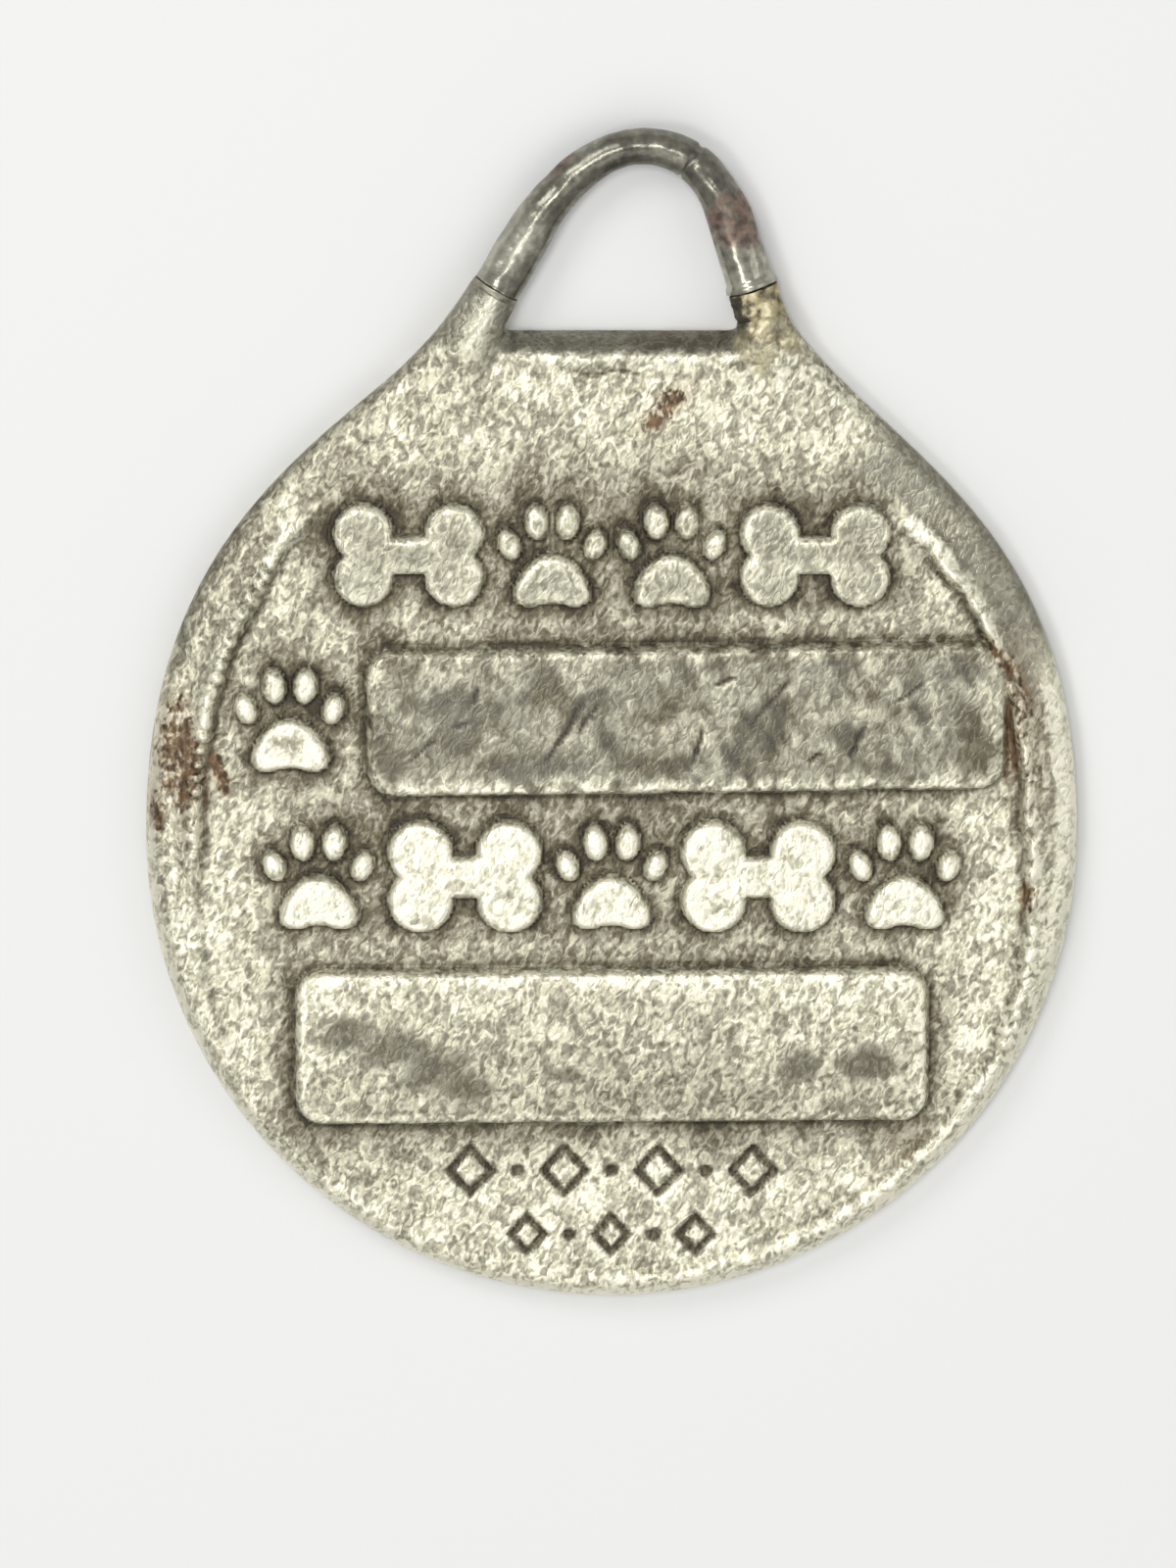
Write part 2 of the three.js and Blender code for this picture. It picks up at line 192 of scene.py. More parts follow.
def lattice(i, j, seed):
    """A repeatable number from 0 to 1 for each point of a square lattice."""
    number = i.astype(np.int64) * 374761393 + j.astype(np.int64) * 668265263 + seed * 974634777
    number = number & 0xFFFFFFFF
    number = ((number ^ (number >> 13)) * 1274126177) & 0xFFFFFFFF
    return ((number ^ (number >> 16)) & 0xFFFFFF) / 0xFFFFFF


def ripple(x, y, size, seed):
    """Smooth noise from about -1 to 1, with lumps of about the given size."""
    u = x / size
    v = y / size
    i = np.floor(u)
    j = np.floor(v)
    u = u - i
    v = v - j

    def corner(right, up):
        turn = 2 * math.pi * lattice(i + right, j + up, seed)
        return np.cos(turn) * (u - right) + np.sin(turn) * (v - up)

    across = u * u * (3 - 2 * u)
    lower = mix(corner(0, 0), corner(1, 0), across)
    upper = mix(corner(0, 1), corner(1, 1), across)
    return 1.5 * mix(lower, upper, v * v * (3 - 2 * v))


def rough(x, y, size, seed, layers=3):
    """Noise in layers, each half as large and half as strong as the one before."""
    total = 0
    for layer in range(layers):
        total = total + ripple(x, y, size / 2**layer, seed + 17 * layer) / 2**layer
    return total / 1.5


def grain(x, y, size, seed):
    """The short, winding lumps of an as-cast skin, from about -1 to 1."""
    bend_x = x + 0.6 * size * ripple(x, y, size * 1.7, seed + 1)
    bend_y = y + 0.6 * size * ripple(x, y, size * 1.7, seed + 2)
    return 1 - 3.2 * np.abs(ripple(bend_x, bend_y, size, seed))


def heading(angle):
    return np.array([math.cos(angle), math.sin(angle)])


def turned(x, y, middle, angle):
    """Points as seen from a middle: their distance along a direction, and to the left of it."""
    ahead = heading(angle)
    x = x - middle[0]
    y = y - middle[1]
    return x * ahead[0] + y * ahead[1], y * ahead[0] - x * ahead[1]


def bezier(points, steps):
    """Points along a Bezier curve, without its last one."""
    share = np.linspace(0, 1, steps, endpoint=False)[:, None]
    level = [np.asarray(point, float)[None, :] for point in points]
    while len(level) > 1:
        level = [mix(a, b, share) for a, b in zip(level[:-1], level[1:])]
    return level[0]


def evenly(points, step):
    """Points at an even spacing along a line, its ends included."""
    travelled = np.concatenate([[0], np.cumsum(np.linalg.norm(np.diff(points, axis=0), axis=1))])
    places = np.linspace(0, travelled[-1], round(travelled[-1] / step) + 1)
    return np.stack([np.interp(places, travelled, points[:, k]) for k in (0, 1)], 1)


def meeting(a, along_a, b, along_b):
    """Where two lines cross, each given by a point and a direction."""
    shares = np.linalg.solve(np.stack([along_a, -along_b], 1), b - a)
    return a + along_a * shares[0]


def foot_point(foot, along, across):
    """A place by a foot of the bail, measured from its seam: up the foot, and across it to the right."""
    up = heading(foot["angle"])
    return foot["seam"] + up * along + np.array([up[1], -up[0]]) * across


def shoulder(waist):
    """The casting's side, from the disc's widest point up to the waist, and the direction at its end."""
    end = np.array([waist["half_width"], EYE_BASE - waist["below_top"]])
    leaving = heading(math.pi - waist["slope"])
    curve = [(DISC_RADIUS, 0), (DISC_RADIUS, SHOULDER_FULLNESS), end - leaving * WAIST_REACH, end]
    return bezier(curve, 200), end, leaving


def horn_outline(foot, waist_end, leaving):
    """A horn seen from above, from the waist round its end to the base of the eye."""
    up = heading(foot["angle"])
    top = -foot["solder"] - JOINT_GAP
    outer = foot_point(foot, top, foot["outer"] * HORN_RADIUS)
    inner = foot_point(foot, top, -foot["outer"] * HORN_RADIUS)
    base = meeting(inner, -up, np.array([0, EYE_BASE]), np.array([1.0, 0]))
    rise = min(EYE_CORNER, np.linalg.norm(inner - base) * 0.9)
    turn_start = base + up * rise
    turn_end = base - np.array([foot["outer"] * EYE_CORNER, 0])
    return np.concatenate([
        bezier([waist_end, meeting(waist_end, leaving, outer, -up), outer], 60),
        bezier([outer, inner], 30),
        bezier([inner, turn_start], 12),
        bezier([turn_start, base, turn_end], 16),
        turn_end[None, :],
    ])


def body_outline(top, every, foot_steps):
    """The disc and its shoulders seen from above, anticlockwise, closed by a line between the waists."""
    right = shoulder(RIGHT_WAIST)[0]
    left = shoulder(LEFT_WAIST)[0] * MIRROR
    turn = np.linspace(math.pi, 2 * math.pi, foot_steps, endpoint=False)
    foot = np.stack([DISC_RADIUS * np.cos(turn), DISC_DROP * np.sin(turn)], 1)
    return np.concatenate([right[::every], top, left[::-every], foot])


def medal_outline():
    """The casting with its horns, at an even spacing."""
    _, right_end, right_leaving = shoulder(RIGHT_WAIST)
    _, left_end, left_leaving = shoulder(LEFT_WAIST)
    right_horn = horn_outline(RIGHT_FOOT, right_end, right_leaving)
    left_horn = horn_outline(LEFT_FOOT, left_end * MIRROR, left_leaving * MIRROR)
    outline = body_outline(np.concatenate([right_horn, left_horn[::-1]]), 1, 600)
    return evenly(np.concatenate([outline, outline[:1]]), OUTLINE_STEP)[:-1]


def plate_outline():
    """The casting without its horns, in fewer points."""
    right_end = shoulder(RIGHT_WAIST)[1]
    left_end = shoulder(LEFT_WAIST)[1] * MIRROR
    return body_outline(np.array([right_end, [6.0, EYE_BASE], [-5.6, EYE_BASE], left_end]), 8, 120)


def depth_inside(points, polygon):
    """Each point's distance from a polygon's edge: positive inside it and negative outside."""
    start = polygon.astype(np.float32)
    edge = np.roll(start, -1, 0) - start
    squared = (edge**2).sum(1)
    drop = np.where(edge[:, 1] == 0, 1, edge[:, 1])
    found = []
    for some in np.array_split(points.astype(np.float32), 1 + len(points) * len(polygon) // 3000000):
        x = some[:, :1] - start[:, 0]
        y = some[:, 1:] - start[:, 1]
        share = np.clip((x * edge[:, 0] + y * edge[:, 1]) / squared, 0, 1)
        nearest = np.hypot(x - share * edge[:, 0], y - share * edge[:, 1]).min(1)
        spans = (y >= 0) != (y - edge[:, 1] >= 0)
        inside = (spans & (x < y * edge[:, 0] / drop)).sum(1) % 2
        found.append(np.where(inside == 1, nearest, -nearest))
    return np.concatenate(found).astype(float)


def rounded_box(x, y, half_width, half_height, corner):
    """Depth inside a rounded rectangle at the origin."""
    out_x = np.abs(x) - half_width + corner
    out_y = np.abs(y) - half_height + corner
    outside = np.hypot(np.maximum(out_x, 0), np.maximum(out_y, 0))
    return corner - outside - np.minimum(np.maximum(out_x, out_y), 0)


def bone(x, y, length, height):
    """Depth inside a bone that lies along X: a shaft between two pairs of knobs."""
    knob = height * BONE_KNOB
    spread = height / 2 - knob
    reach = length / 2 - knob
    knobs = knob - np.hypot(np.abs(x) - reach, np.abs(y) - spread)
    shaft = rounded_box(x, y, reach, knob * BONE_SHAFT, 0.1)
    return np.maximum(knobs, shaft)


def paw(x, y, height):
    """Depth inside a paw print: a broad pad under four oval toes."""
    half = np.concatenate([bezier(PAD_FOOT, 12), bezier(PAD_TOP, 20)])
    pad = np.concatenate([half, PAD_TOP[-1:], (half * MIRROR)[:0:-1]]) * height
    depth = depth_inside(np.stack([x, y], 1), pad)
    for side in (-1, 1):
        for across, up, half_width, half_height, lean in TOES:
            u, v = turned(x, y, (side * height * across, height * up), -side * lean)
            away = np.hypot(u / (height * half_width), v / (height * half_height))
            depth = np.maximum(depth, (1 - away) * height * half_width)
    return depth


def rim_inset(rise):
    """How far the rim's crest stands inside the edge, from the foot of the disc (-1) to its top (1)."""
    return mix(RIM_LOW_WIDTH, RIM_WIDTH, smooth(-0.6, 0.1, rise))


def field_chord(height):
    """The half length of the field's chord at a height, inside the rim's crest."""
    inner = DISC_RADIUS - rim_inset(height / DISC_RADIUS) - RIM_FLAT
    return math.sqrt(inner * inner - height * height)


number_foot = NUMBER_PANEL["centre"] - NUMBER_PANEL["height"] / 2 + PANEL_CORNER
panel_length = 2 * (field_chord(number_foot) - NUMBER_GAP)
name_end = field_chord(NAME_PANEL["centre"]) - NAME_GAP
name_middle = name_end - panel_length / 2
name_start = name_end - panel_length


def row_motifs(row):
    """The motifs of a row share its length. Each gives its kind, middle, width and height."""
    half_length = field_chord(row["centre"]) - row["inset"]
    parts = [BONE_TO_PAW if motif == "bone" else 1 for motif in row["motifs"]]
    unit = (2 * half_length - MOTIF_GAP * (len(parts) - 1)) / sum(parts)
    start = -half_length
    for motif, part in zip(row["motifs"], parts):
        yield motif, (start + unit * part / 2, row["centre"]), unit * part, row["height"]
        start += unit * part + MOTIF_GAP


def side_paw():
    """The one motif beside the name panel."""
    middle = (name_start - field_chord(SIDE_PAW["centre"])) / 2
    return "paw", (middle, SIDE_PAW["centre"]), SIDE_PAW["height"], SIDE_PAW["height"]


def motif_depth(x, y, motifs):
    """Depth inside the nearest of the motifs, as far out as grime gathers beside them."""
    depth = np.full(x.shape, -9.0)
    for motif, middle, width, height in motifs:
        u = x - middle[0]
        v = y - middle[1]
        close = (np.abs(u) < width / 2 + GRIME_REACH) & (np.abs(v) < height / 2 + GRIME_REACH)
        u = u[close]
        v = v[close]
        made = bone(u, v, width, height) if motif == "bone" else paw(u, v, min(width, height))
        depth[close] = np.maximum(depth[close], made)
    return depth


def panel_depth(x, y, panel, middle):
    """Depth inside a panel, whose edge wavers a little."""
    u, v = turned(x, y, (middle, panel["centre"]), panel["turn"])
    waver = 0.05 * rough(x, y, 1.6, 31)
    return rounded_box(u, v, panel_length / 2, panel["height"] / 2, PANEL_CORNER) + waver


def swell(depth, width):
    """A rise with a quarter-round shoulder."""
    share = np.clip(depth / width, 0, 1)
    return np.sqrt(1 - (1 - share) ** 2)


# The incised band under the number panel: lozenges with dots between them.
ENGRAVED_ROWS = (
    {"y": -11.57, "marks": 7, "step": 1.62, "size": 0.72},
    {"y": -13.85, "marks": 5, "step": 1.45, "size": 0.56},
)
ENGRAVED_STROKE = 0.15
DOT_RADIUS = 0.24

# Wear on the name panel, by place, length, lean and half width: a few scratches that lean to the right,
# and small nicks among them.
SCRATCHES = (
    (-6.4, 3.3, 0.9, 1.1, 0.12), (-4.6, 5.2, 0.7, 0.3, 0.13), (-1.6, 3.9, 2.7, 0.6, 0.15),
    (-0.8, 4.4, 1.3, 0.75, 0.11), (2.9, 3.4, 1.7, 0.25, 0.14), (5.4, 5.0, 1.9, 0.8, 0.12),
    (8.3, 3.6, 1.2, 0.45, 0.13), (10.1, 5.3, 0.8, 1.2, 0.12), (-5.0, 4.2, 0.3, 2.2, 0.32),
    (3.9, 5.7, 0.35, 1.9, 0.26), (6.9, 3.1, 0.4, 1.3, 0.2),
)

# Grey smudges on the number panel, by middle, half length and half height.
SMUDGES = (
    (-9.1, -6.6, 1.3, 0.7), (-7.5, -7.1, 1.3, 0.9), (-5.9, -7.9, 1.7, 1.0), (-4.9, -8.5, 0.9, 0.5),
    (6.4, -7.8, 0.8, 0.65), (8.8, -7.6, 1.3, 0.8), (-1.6, -8.0, 0.6, 0.3),
)

# Rust, by middle, half length, half width, direction in degrees and strength. Weak rust is a brown wash.
RUST = (
    (1.8, 14.9, 1.4, 0.6, 45, 1.0), (-14.4, 3.2, 2.4, 0.7, 96, 1.0), (-13.3, 2.4, 0.9, 0.35, 110, 1.0),
    (-15.5, 1.2, 1.2, 0.35, 95, 1.0), (-14.7, 2.8, 2.8, 1.0, 98, 0.9), (13.75, 4.3, 2.9, 0.5, 88, 0.75),
    (13.2, 6.5, 1.2, 0.35, 125, 0.9), (14.2, -1.9, 0.7, 0.4, 90, 0.9), (14.2, 3.6, 4.2, 0.9, 95, 0.4),
    (9.8, -10.8, 1.7, 0.7, 40, 0.3),
)


def engraved(x, y):
    """How deep a point lies in an incised stroke, from 0 to 1."""
    cut = np.zeros(x.shape)
    for row in ENGRAVED_ROWS:
        for k in range(row["marks"]):
            u = np.abs(x - (k - (row["marks"] - 1) / 2) * row["step"])
            v = np.abs(y - row["y"])
            lozenge = np.abs(u + v * 0.9 - row["size"]) / 1.35 - ENGRAVED_STROKE
            dot = np.hypot(u, v) - DOT_RADIUS
            cut = np.maximum(cut, smooth(0.05, -0.12, lozenge if k % 2 == 0 else dot))
    return cut


def scratched(x, y):
    cut = np.zeros(x.shape)
    for middle_x, middle_y, length, lean, half_width in SCRATCHES:
        u = x - middle_x - lean * (y - middle_y) - 0.12 * rough(x, y, 0.9, 53)
        end = smooth(1, 0.5, 2 * np.abs(y - middle_y) / length)
        cut = np.maximum(cut, end * smooth(half_width, 0.2 * half_width, np.abs(u)))
    return cut


def smudged(x, y):
    grey = np.zeros(x.shape)
    for middle_x, middle_y, reach_x, reach_y in SMUDGES:
        away = np.hypot((x - middle_x) / reach_x, (y - middle_y) / reach_y) + 0.45 * rough(x, y, 0.9, 57)
        grey = np.maximum(grey, smooth(1.2, 0.35, away))
    return grey


def rusted(x, y):
    rust = np.zeros(x.shape)
    for middle_x, middle_y, reach, width, degrees, strength in RUST:
        u, v = turned(x, y, (middle_x, middle_y), math.radians(degrees))
        away = np.hypot(u / reach, v / width) + 0.35 * rough(x, y, 0.8, 59)
        rust = np.maximum(rust, strength * smooth(1.3, 0.2, away))
    return rust


def horn_section(x, y, foot):
    """A horn's own coordinates: along the foot, across it as a share of its half width, and its depth."""
    along, left = turned(x, y, foot["seam"], foot["angle"])
    top = -foot["solder"] - JOINT_GAP
    half_width = HORN_RADIUS + HORN_FLARE * np.clip((top - along) / (top - HORN_BASE), 0, 1)
    grown = np.clip((along - HORN_ROOT) / (HORN_BASE - HORN_ROOT), -0.6, 1)
    across = -left / half_width
    arch = np.sqrt(np.clip(1 - across**2, 0, 1))
    return along, across, mix(HORN_ROOT_DEPTH, HORN_RADIUS, grown) * arch


def eye_share(x, y):
    """One along the base of the eye, between the horns."""
    return smooth(EYE_BASE - 1.3, EYE_BASE - 0.75, y) * smooth(4.5, 3.7, np.abs(x - 0.2))


def brassy(x, y):
    """The yellow mend's stain on the right horn."""
    along, across, _ = horn_section(x, y, RIGHT_FOOT)
    spread = np.abs(across) + 0.25 * rough(x, y, 0.7, 63)
    return smooth(-4.2, -1.3, along + 0.9 * rough(x, y, 0.9, 67)) * smooth(1.4, 0.7, spread)


def rim_layout(x, y, inset):
    """The rim's crest, beads and bands, and its bright edges, which are worn and partly painted light. Its
    left and right sides are worn differently.
    """
    rise = y / np.maximum(np.hypot(x, y), 1e-6)
    above = np.arctan2(y, np.abs(x))
    arc = np.arctan2(y, x) * DISC_RADIUS
    left = smooth(2, -2, x)
    right = 1 - left
    drift = smooth(0.55, 0.8, rise) * mix(0.25, -0.25, left)
    crest = rim_inset(rise) + drift + 0.12 * rough(x, y, 1.4, 3)
    slip = 0.7 * ripple(x, y, 1.3, 5) + 1.4 * (inset - crest) * right
    twist = np.sin(2 * math.pi * (arc / BEAD_PITCH + slip)) * smooth(-0.5, 0.3, ripple(x, y, 1.9, 4))
    twisted = np.maximum(left, smooth(-0.2, -0.4, rise))
    chunks = mix(ripple(x, y, 0.6, 6), 0.7 * twist + 0.5 * ripple(x, y, 0.7, 6), twisted)
    beads = mix(smooth(-0.95, -0.8, rise), smooth(-0.12, 0.05, rise), left) * chunks
    crest = crest + 0.06 * beads
    rim = smooth(RIM_END, RIM_END - RIM_FADE, above)
    ridge_top = mix(smooth(RIM_END, RIM_END - 0.12, above), rim, left)
    ridge_foot = mix(mix(0.6, 1, smooth(-0.7, 0, rise)), smooth(-0.14, 0.0, rise), left)
    outer_band = smooth(0.1, -0.15, inset - crest + 0.3)
    # The worn lower edge, the stripe on the right and the streak on the left are bright: worn metal, partly
    # painted light where the edge slopes away from the lamps.
    worn = smooth(0.5 + 0.15 * rough(x, y, 0.9, 149), 0.22, inset) * smooth(0.4, 0.1, rise)
    stripe = right * window(-0.15, 0.05, 0.32, 0.46, rise)
    stripe = stripe * smooth(0.85, 0.6, inset + 0.15 * rough(x, y, 1.1, 150))
    streak = left * window(-0.16, -0.08, 0.16, 0.24, rise)
    streak = streak * hump(inset - 0.98 - 0.12 * ripple(x, y, 0.9, 12), 0.16)
    return SimpleNamespace(
        inset=inset,
        rise=rise,
        left=left,
        right=right,
        beads=beads,
        crest=crest,
        past_crest=inset - crest,
        rim=rim,
        ridge=ridge_top * ridge_foot,
        lump=right * window(0.6, 0.7, 0.77, 0.81, rise),
        upper_band=smooth(0.22, 0.45, rise) * smooth(BAND_END, BAND_END - 0.1, above) * outer_band,
        bright_edge=np.maximum(np.maximum(worn, stripe), 0.9 * streak),
    )


def face_layout(x, y, inset):
    """Where the points of the face lie: their depth in each raised form, and their place on the rim."""
    at = rim_layout(x, y, inset)
    at.name = panel_depth(x, y, NAME_PANEL, name_middle)
    at.number = panel_depth(x, y, NUMBER_PANEL, 0)
    at.panels = np.maximum(at.name, at.number)
    at.row_one = motif_depth(x, y, row_motifs(ROW_ONE))
    at.low_motifs = motif_depth(x, y, [*row_motifs(ROW_THREE), side_paw()])
    at.motifs = np.maximum(at.row_one, at.low_motifs)
    at.raised = np.maximum(at.panels, at.motifs)
    at.beside = np.clip(-at.raised, 0, None)
    at.eye = eye_share(x, y)
    at.eye_wall = at.eye * smooth(0.68, 0.46, inset + 0.22 * rough(x, y, 0.8, 47))
    at.cuts = engraved(x, y)
    at.scratches = scratched(x, y) * smooth(0.2, 0.4, at.name)
    crack = hump(EYE_BASE - 1.25 - 0.3 * ripple(x, y, 1.3, 41) - y, 0.07)
    at.crack = crack * window(-2.2, -1.2, 1.4, 2.6, x) * smooth(-0.5, 0.1, ripple(x, y, 0.8, 44))
    at.smudges = smudged(x, y)
    at.blots = smooth(-0.15, 0.3, rough(x, y, 2.1, 155))
    at.brass = brassy(x, y)
    at.rust = rusted(x, y)
    soot_hole = np.hypot(x - SOOT_PLACE[0], y - SOOT_PLACE[1]) + 0.25 * rough(x, y, 0.5, 172)
    at.clear = smooth(0.35, 0.75, soot_hole)
    along, at.across_left, _ = horn_section(x, y, LEFT_FOOT)
    on_left_horn = np.abs(at.across_left) < 1.15
    at.left_horn = smooth(-3.0, -1.4, along + 0.5 * rough(x, y, 1.0, 175)) * on_left_horn
    polished = (
        mix(0.5, 0.9, at.blots) * smooth(0.2, 0.8, at.name),
        0.8 * at.upper_band * (x > 0),
        0.6 * smooth(0.1, 0.3, at.row_one),
        0.35 * smooth(0.05, 0.2, at.low_motifs),
        0.5 * at.bright_edge,
        0.7 * at.smudges,
        0.9 * at.eye_wall,
        at.left_horn,
    )
    at.polish = np.max(polished, axis=0)
    return at


def ridge_shape(at, width, lump_end):
    """The ridge on the rim's crest. At the upper right it is a broad, flat lump."""
    away = np.abs(at.past_crest)
    return mix(hump(away, width), smooth(lump_end, 0.3, away), at.lump) * at.ridge


def face_heights(x, y, at):
    """The face's height over the back."""
    low_rise = mix(RIM_LOW_RISE, 0.03, at.left)
    rim = at.rim * mix(low_rise, RIM_RISE, smooth(-1, 0.2, at.rise - 0.1 * at.left))
    ridge = ridge_shape(at, 0.24, 0.5) * (1 + 1.4 * at.beads)
    rim_shape = 0.55 * smooth(0.2, 1, at.inset / at.crest) + 0.45 * ridge
    rim_shape = rim_shape * smooth(RIM_INNER_SLOPE, 0, at.past_crest - RIM_FLAT)
    high = mix(LAND_HIGH, EYE_BASE_HIGH, at.eye)
    ragged = at.inset + 0.11 * at.eye * rough(x, y, 0.9, 7)
    edge = mix(swell(at.inset, FACE_ROUND), np.clip(ragged / FACE_ROUND, 0, 1) ** 0.75, at.eye)
    field = FIELD_HEIGHT + 0.03 * rough(x, y, 5, 11) + 0.02 * rough(x, y, 1.7, 13)
    height = high + (field - high) * edge + rim * rim_shape

    worn_edge = 0.07 * np.exp(-np.clip(at.panels, 0, None) / 0.35)
    panel_top = RELIEF_TOP - worn_edge + 0.02 * rough(x, y, 2.3, 19)
    height = mix(height, np.maximum(height, panel_top), smooth(0, RELIEF_DRAFT, at.panels))
    motif_top = mix(height, RELIEF_TOP + 0.035 * rough(x, y, 0.7, 21), swell(at.motifs, 0.22))
    height = np.where(at.motifs > 0, np.maximum(height, motif_top), height)
    groove = hump(at.beside - 0.04, 0.08) * (at.raised < 0) * (at.inset > 0.5)
    lip = hump(EYE_BASE - 0.8 - 0.12 * ripple(x, y, 1.1, 45) - y, 0.16) * at.eye
    height = height - GROOVE_DEPTH * groove + lip * (0.07 + 0.17 * rough(x, y, 0.6, 43))
    height = height - CRACK_DEPTH * at.crack

    for foot in (LEFT_FOOT, RIGHT_FOOT):
        along, across, arch = horn_section(x, y, foot)
        bar = np.where(np.abs(across) < 1, BAIL_HEIGHT + arch, 0)
        height = soft_max(height, np.where(along > HORN_ROOT - 0.8, bar, 0), 0.35)

    skin = grain(x, y, 0.36, 71) * (1 - 0.8 * at.polish) * mix(1, 0.7, smooth(0.05, 0.3, at.panels))
    pits = smooth(0.62, 0.85, ripple(x, y, 0.5, 83) * 1.3) * smooth(0.0, 0.6, ripple(x, y, 4.0, 89))
    mend = 0.09 * rough(x, y, 0.5, 93) - 0.12 * smooth(0.3, 0.6, ripple(x, y, 0.45, 95))
    height = height + SKIN_DEPTH * skin + at.brass * mend - PIT_DEPTH * pits
    height = height - CUT_DEPTH * at.cuts - SCRATCH_DEPTH * at.scratches
    return np.minimum(height, FIELD_HEIGHT + RELIEF_RISE)


def field_tone(x, y, at):
    """The field, darker where grime has gathered beside the raised forms, and darker towards the top as
    painted shade.
    """
    grime = np.exp(-(at.beside / GRIME_WIDTH) ** 1.5)
    grime = grime * np.clip(0.85 + 0.7 * rough(x, y, 2.0, 137), 0.1, 1.25)
    grime = grime * mix(1, 0.8, window(-10.5, -8.5, -3.5, 0.5, y))
    grime = grime * mix(1, 0.5, smooth(11, 12.5, np.abs(x)))
    # Darker towards the top: painted shade that makes up for the lamps lighting the top more.
    tone = mix(*FIELD_TONES, smooth(8, 14, y)) + 0.09 * smooth(6, 12, x) - GRIME_LOSS * grime
    tone = tone - 0.06 * smooth(-3, -7, x) * smooth(9, 12, y)
    return tone + 0.1 * rough(x, y, 4.5, 131) + 0.08 * rough(x, y, 1.3, 133)


def rim_tone(x, y, at, tone):
    """The rim: streaked bands outside a bright crest, with a painted dark reflection on the upper right
    band and a painted shadow at the crest's inner foot, and bright metal where it is worn most, partly
    painted light.
    """
    streaks = ripple(x, y * 0.16, 0.33, 141)
    beside_streak = at.left * window(-0.2, -0.1, 0.2, 0.3, at.rise)
    low_right = at.right * smooth(0, -0.3, at.rise)
    band = BAND_TONE + 0.11 * streaks - 0.16 * beside_streak + 0.06 * low_right
    tone = mix(tone, band, at.rim * smooth(0.0, -0.25, at.past_crest))
    # The upper bands are darker: on the upper right this is a painted dark reflection; on the upper left,
    # grey streaked metal.
    upper_left = UPPER_LEFT_BAND + 0.12 * streaks + 0.08 * rough(x, y, 2.5, 145)
    upper_right = UPPER_RIGHT_BAND + 0.07 * rough(x, y, 1.6, 143)
    tone = mix(tone, mix(upper_right, upper_left, x < 0), at.upper_band)
    dulled = 0.24 * at.right * window(0.06, 0.12, 0.38, 0.46, at.rise)
    crest = CREST_TONE - dulled + 0.55 * at.beads + 0.15 * rough(x, y, 0.8, 147)
    low_end = mix(smooth(-0.97, -0.85, at.rise), smooth(-0.5, 0.1, at.rise), at.left)
    tone = mix(tone, crest, 0.9 * ridge_shape(at, 0.22, 0.45) * low_end)
    # A painted shadow line at the crest's inner foot.
    foot = hump(at.past_crest - RIM_FLAT - RIM_INNER_SLOPE, 0.1) * at.ridge
    tone = tone - 0.4 * foot * smooth(-0.6, 0.5, rough(x, y, 1.2, 148) + 0.3) * low_end
    flank = smooth(0.6, 0.9, at.inset) * smooth(-0.15, -0.4, at.past_crest)
    tone = tone - 0.17 * flank * at.right * window(-0.2, 0.0, 0.3, 0.45, at.rise)
    # Bright edges: worn metal, partly painted light where they slope away from the lamps.
    tone = mix(tone, 1.0, 0.9 * at.bright_edge)
    return tone - 0.16 * smooth(0.16, 0.05, at.inset) * smooth(0.35, 0.6, at.rise)


def name_tone(x, y, at):
    """The name panel: dark, blotted metal inside a worn border."""
    slants = ripple(x * 0.9 + y * 0.45, (y * 0.9 - x * 0.45) * 0.3, 0.4, 151)
    low_edge = smooth(1.0, 0.2, y - NAME_PANEL["centre"] + NAME_PANEL["height"] / 2)
    side_edge = smooth(0.36, 0.1, at.name) * smooth(-0.5, 0.3, rough(x, y, 0.9, 152))
    border = np.maximum(side_edge, low_edge * smooth(-0.5, 0.3, ripple(x, y, 0.45, 153)))
    top = NAME_TOP + 0.16 * rough(x, y, 0.8, 157) - 0.3 * at.blots + 0.2 * slants * smooth(-2, 4, x)
    return mix(top, NAME_BORDER, 0.9 * border)


def number_tone(x, y, at):
    """The number panel: brighter towards its top and at the edge of its ends, with grey smudges."""
    height = (y - NUMBER_PANEL["centre"]) / NUMBER_PANEL["height"]
    top = NUMBER_TOP + 0.27 * height + 0.1 * rough(x, y, 1.6, 159) + 0.08 * smooth(4, 11, np.abs(x))
    top = mix(top, SMUDGE_TONE, at.smudges)
    edge = smooth(0.5, 0.12, at.number) * smooth(-0.6, 0.3, rough(x, y, 0.9, 158))
    ends = np.maximum(smooth(2.5, -1.5, x), smooth(9.0, 9.8, x))
    return mix(top, NUMBER_BORDER, 0.85 * edge * mix(0.4, 1, ends))


def raised_tone(x, y, at, tone):
    """The panels and the motifs, with a painted shadow line round them and painted shade on their walls."""
    row_one = mix(*ROW_ONE_TONES, smooth(0.08, 0.36, at.row_one)) + 0.2 * rough(x, y, 0.9, 161)
    low_motifs = 1.0 - 0.3 * smooth(0.25, 0.8, rough(x, y, 0.8, 163) + 0.25)
    tone = np.where(at.name > 0, name_tone(x, y, at), tone)
    tone = np.where(at.number > 0, number_tone(x, y, at), tone)
    tone = np.where(at.row_one > 0, row_one, tone)
    tone = np.where(at.low_motifs > 0, low_motifs, tone)
    shadow = hump(at.beside - 0.02, 0.07) * (at.inset > 0.5) * smooth(-0.8, 0.6, rough(x, y, 1.5, 165))
    tone = tone - 0.22 * shadow * (at.raised <= 0)
    # The raised forms' walls are darker: painted shade.
    return np.where(at.raised > 0, mix(RELIEF_EDGE_TONE, tone, smooth(0, 0.1, at.raised)), tone)


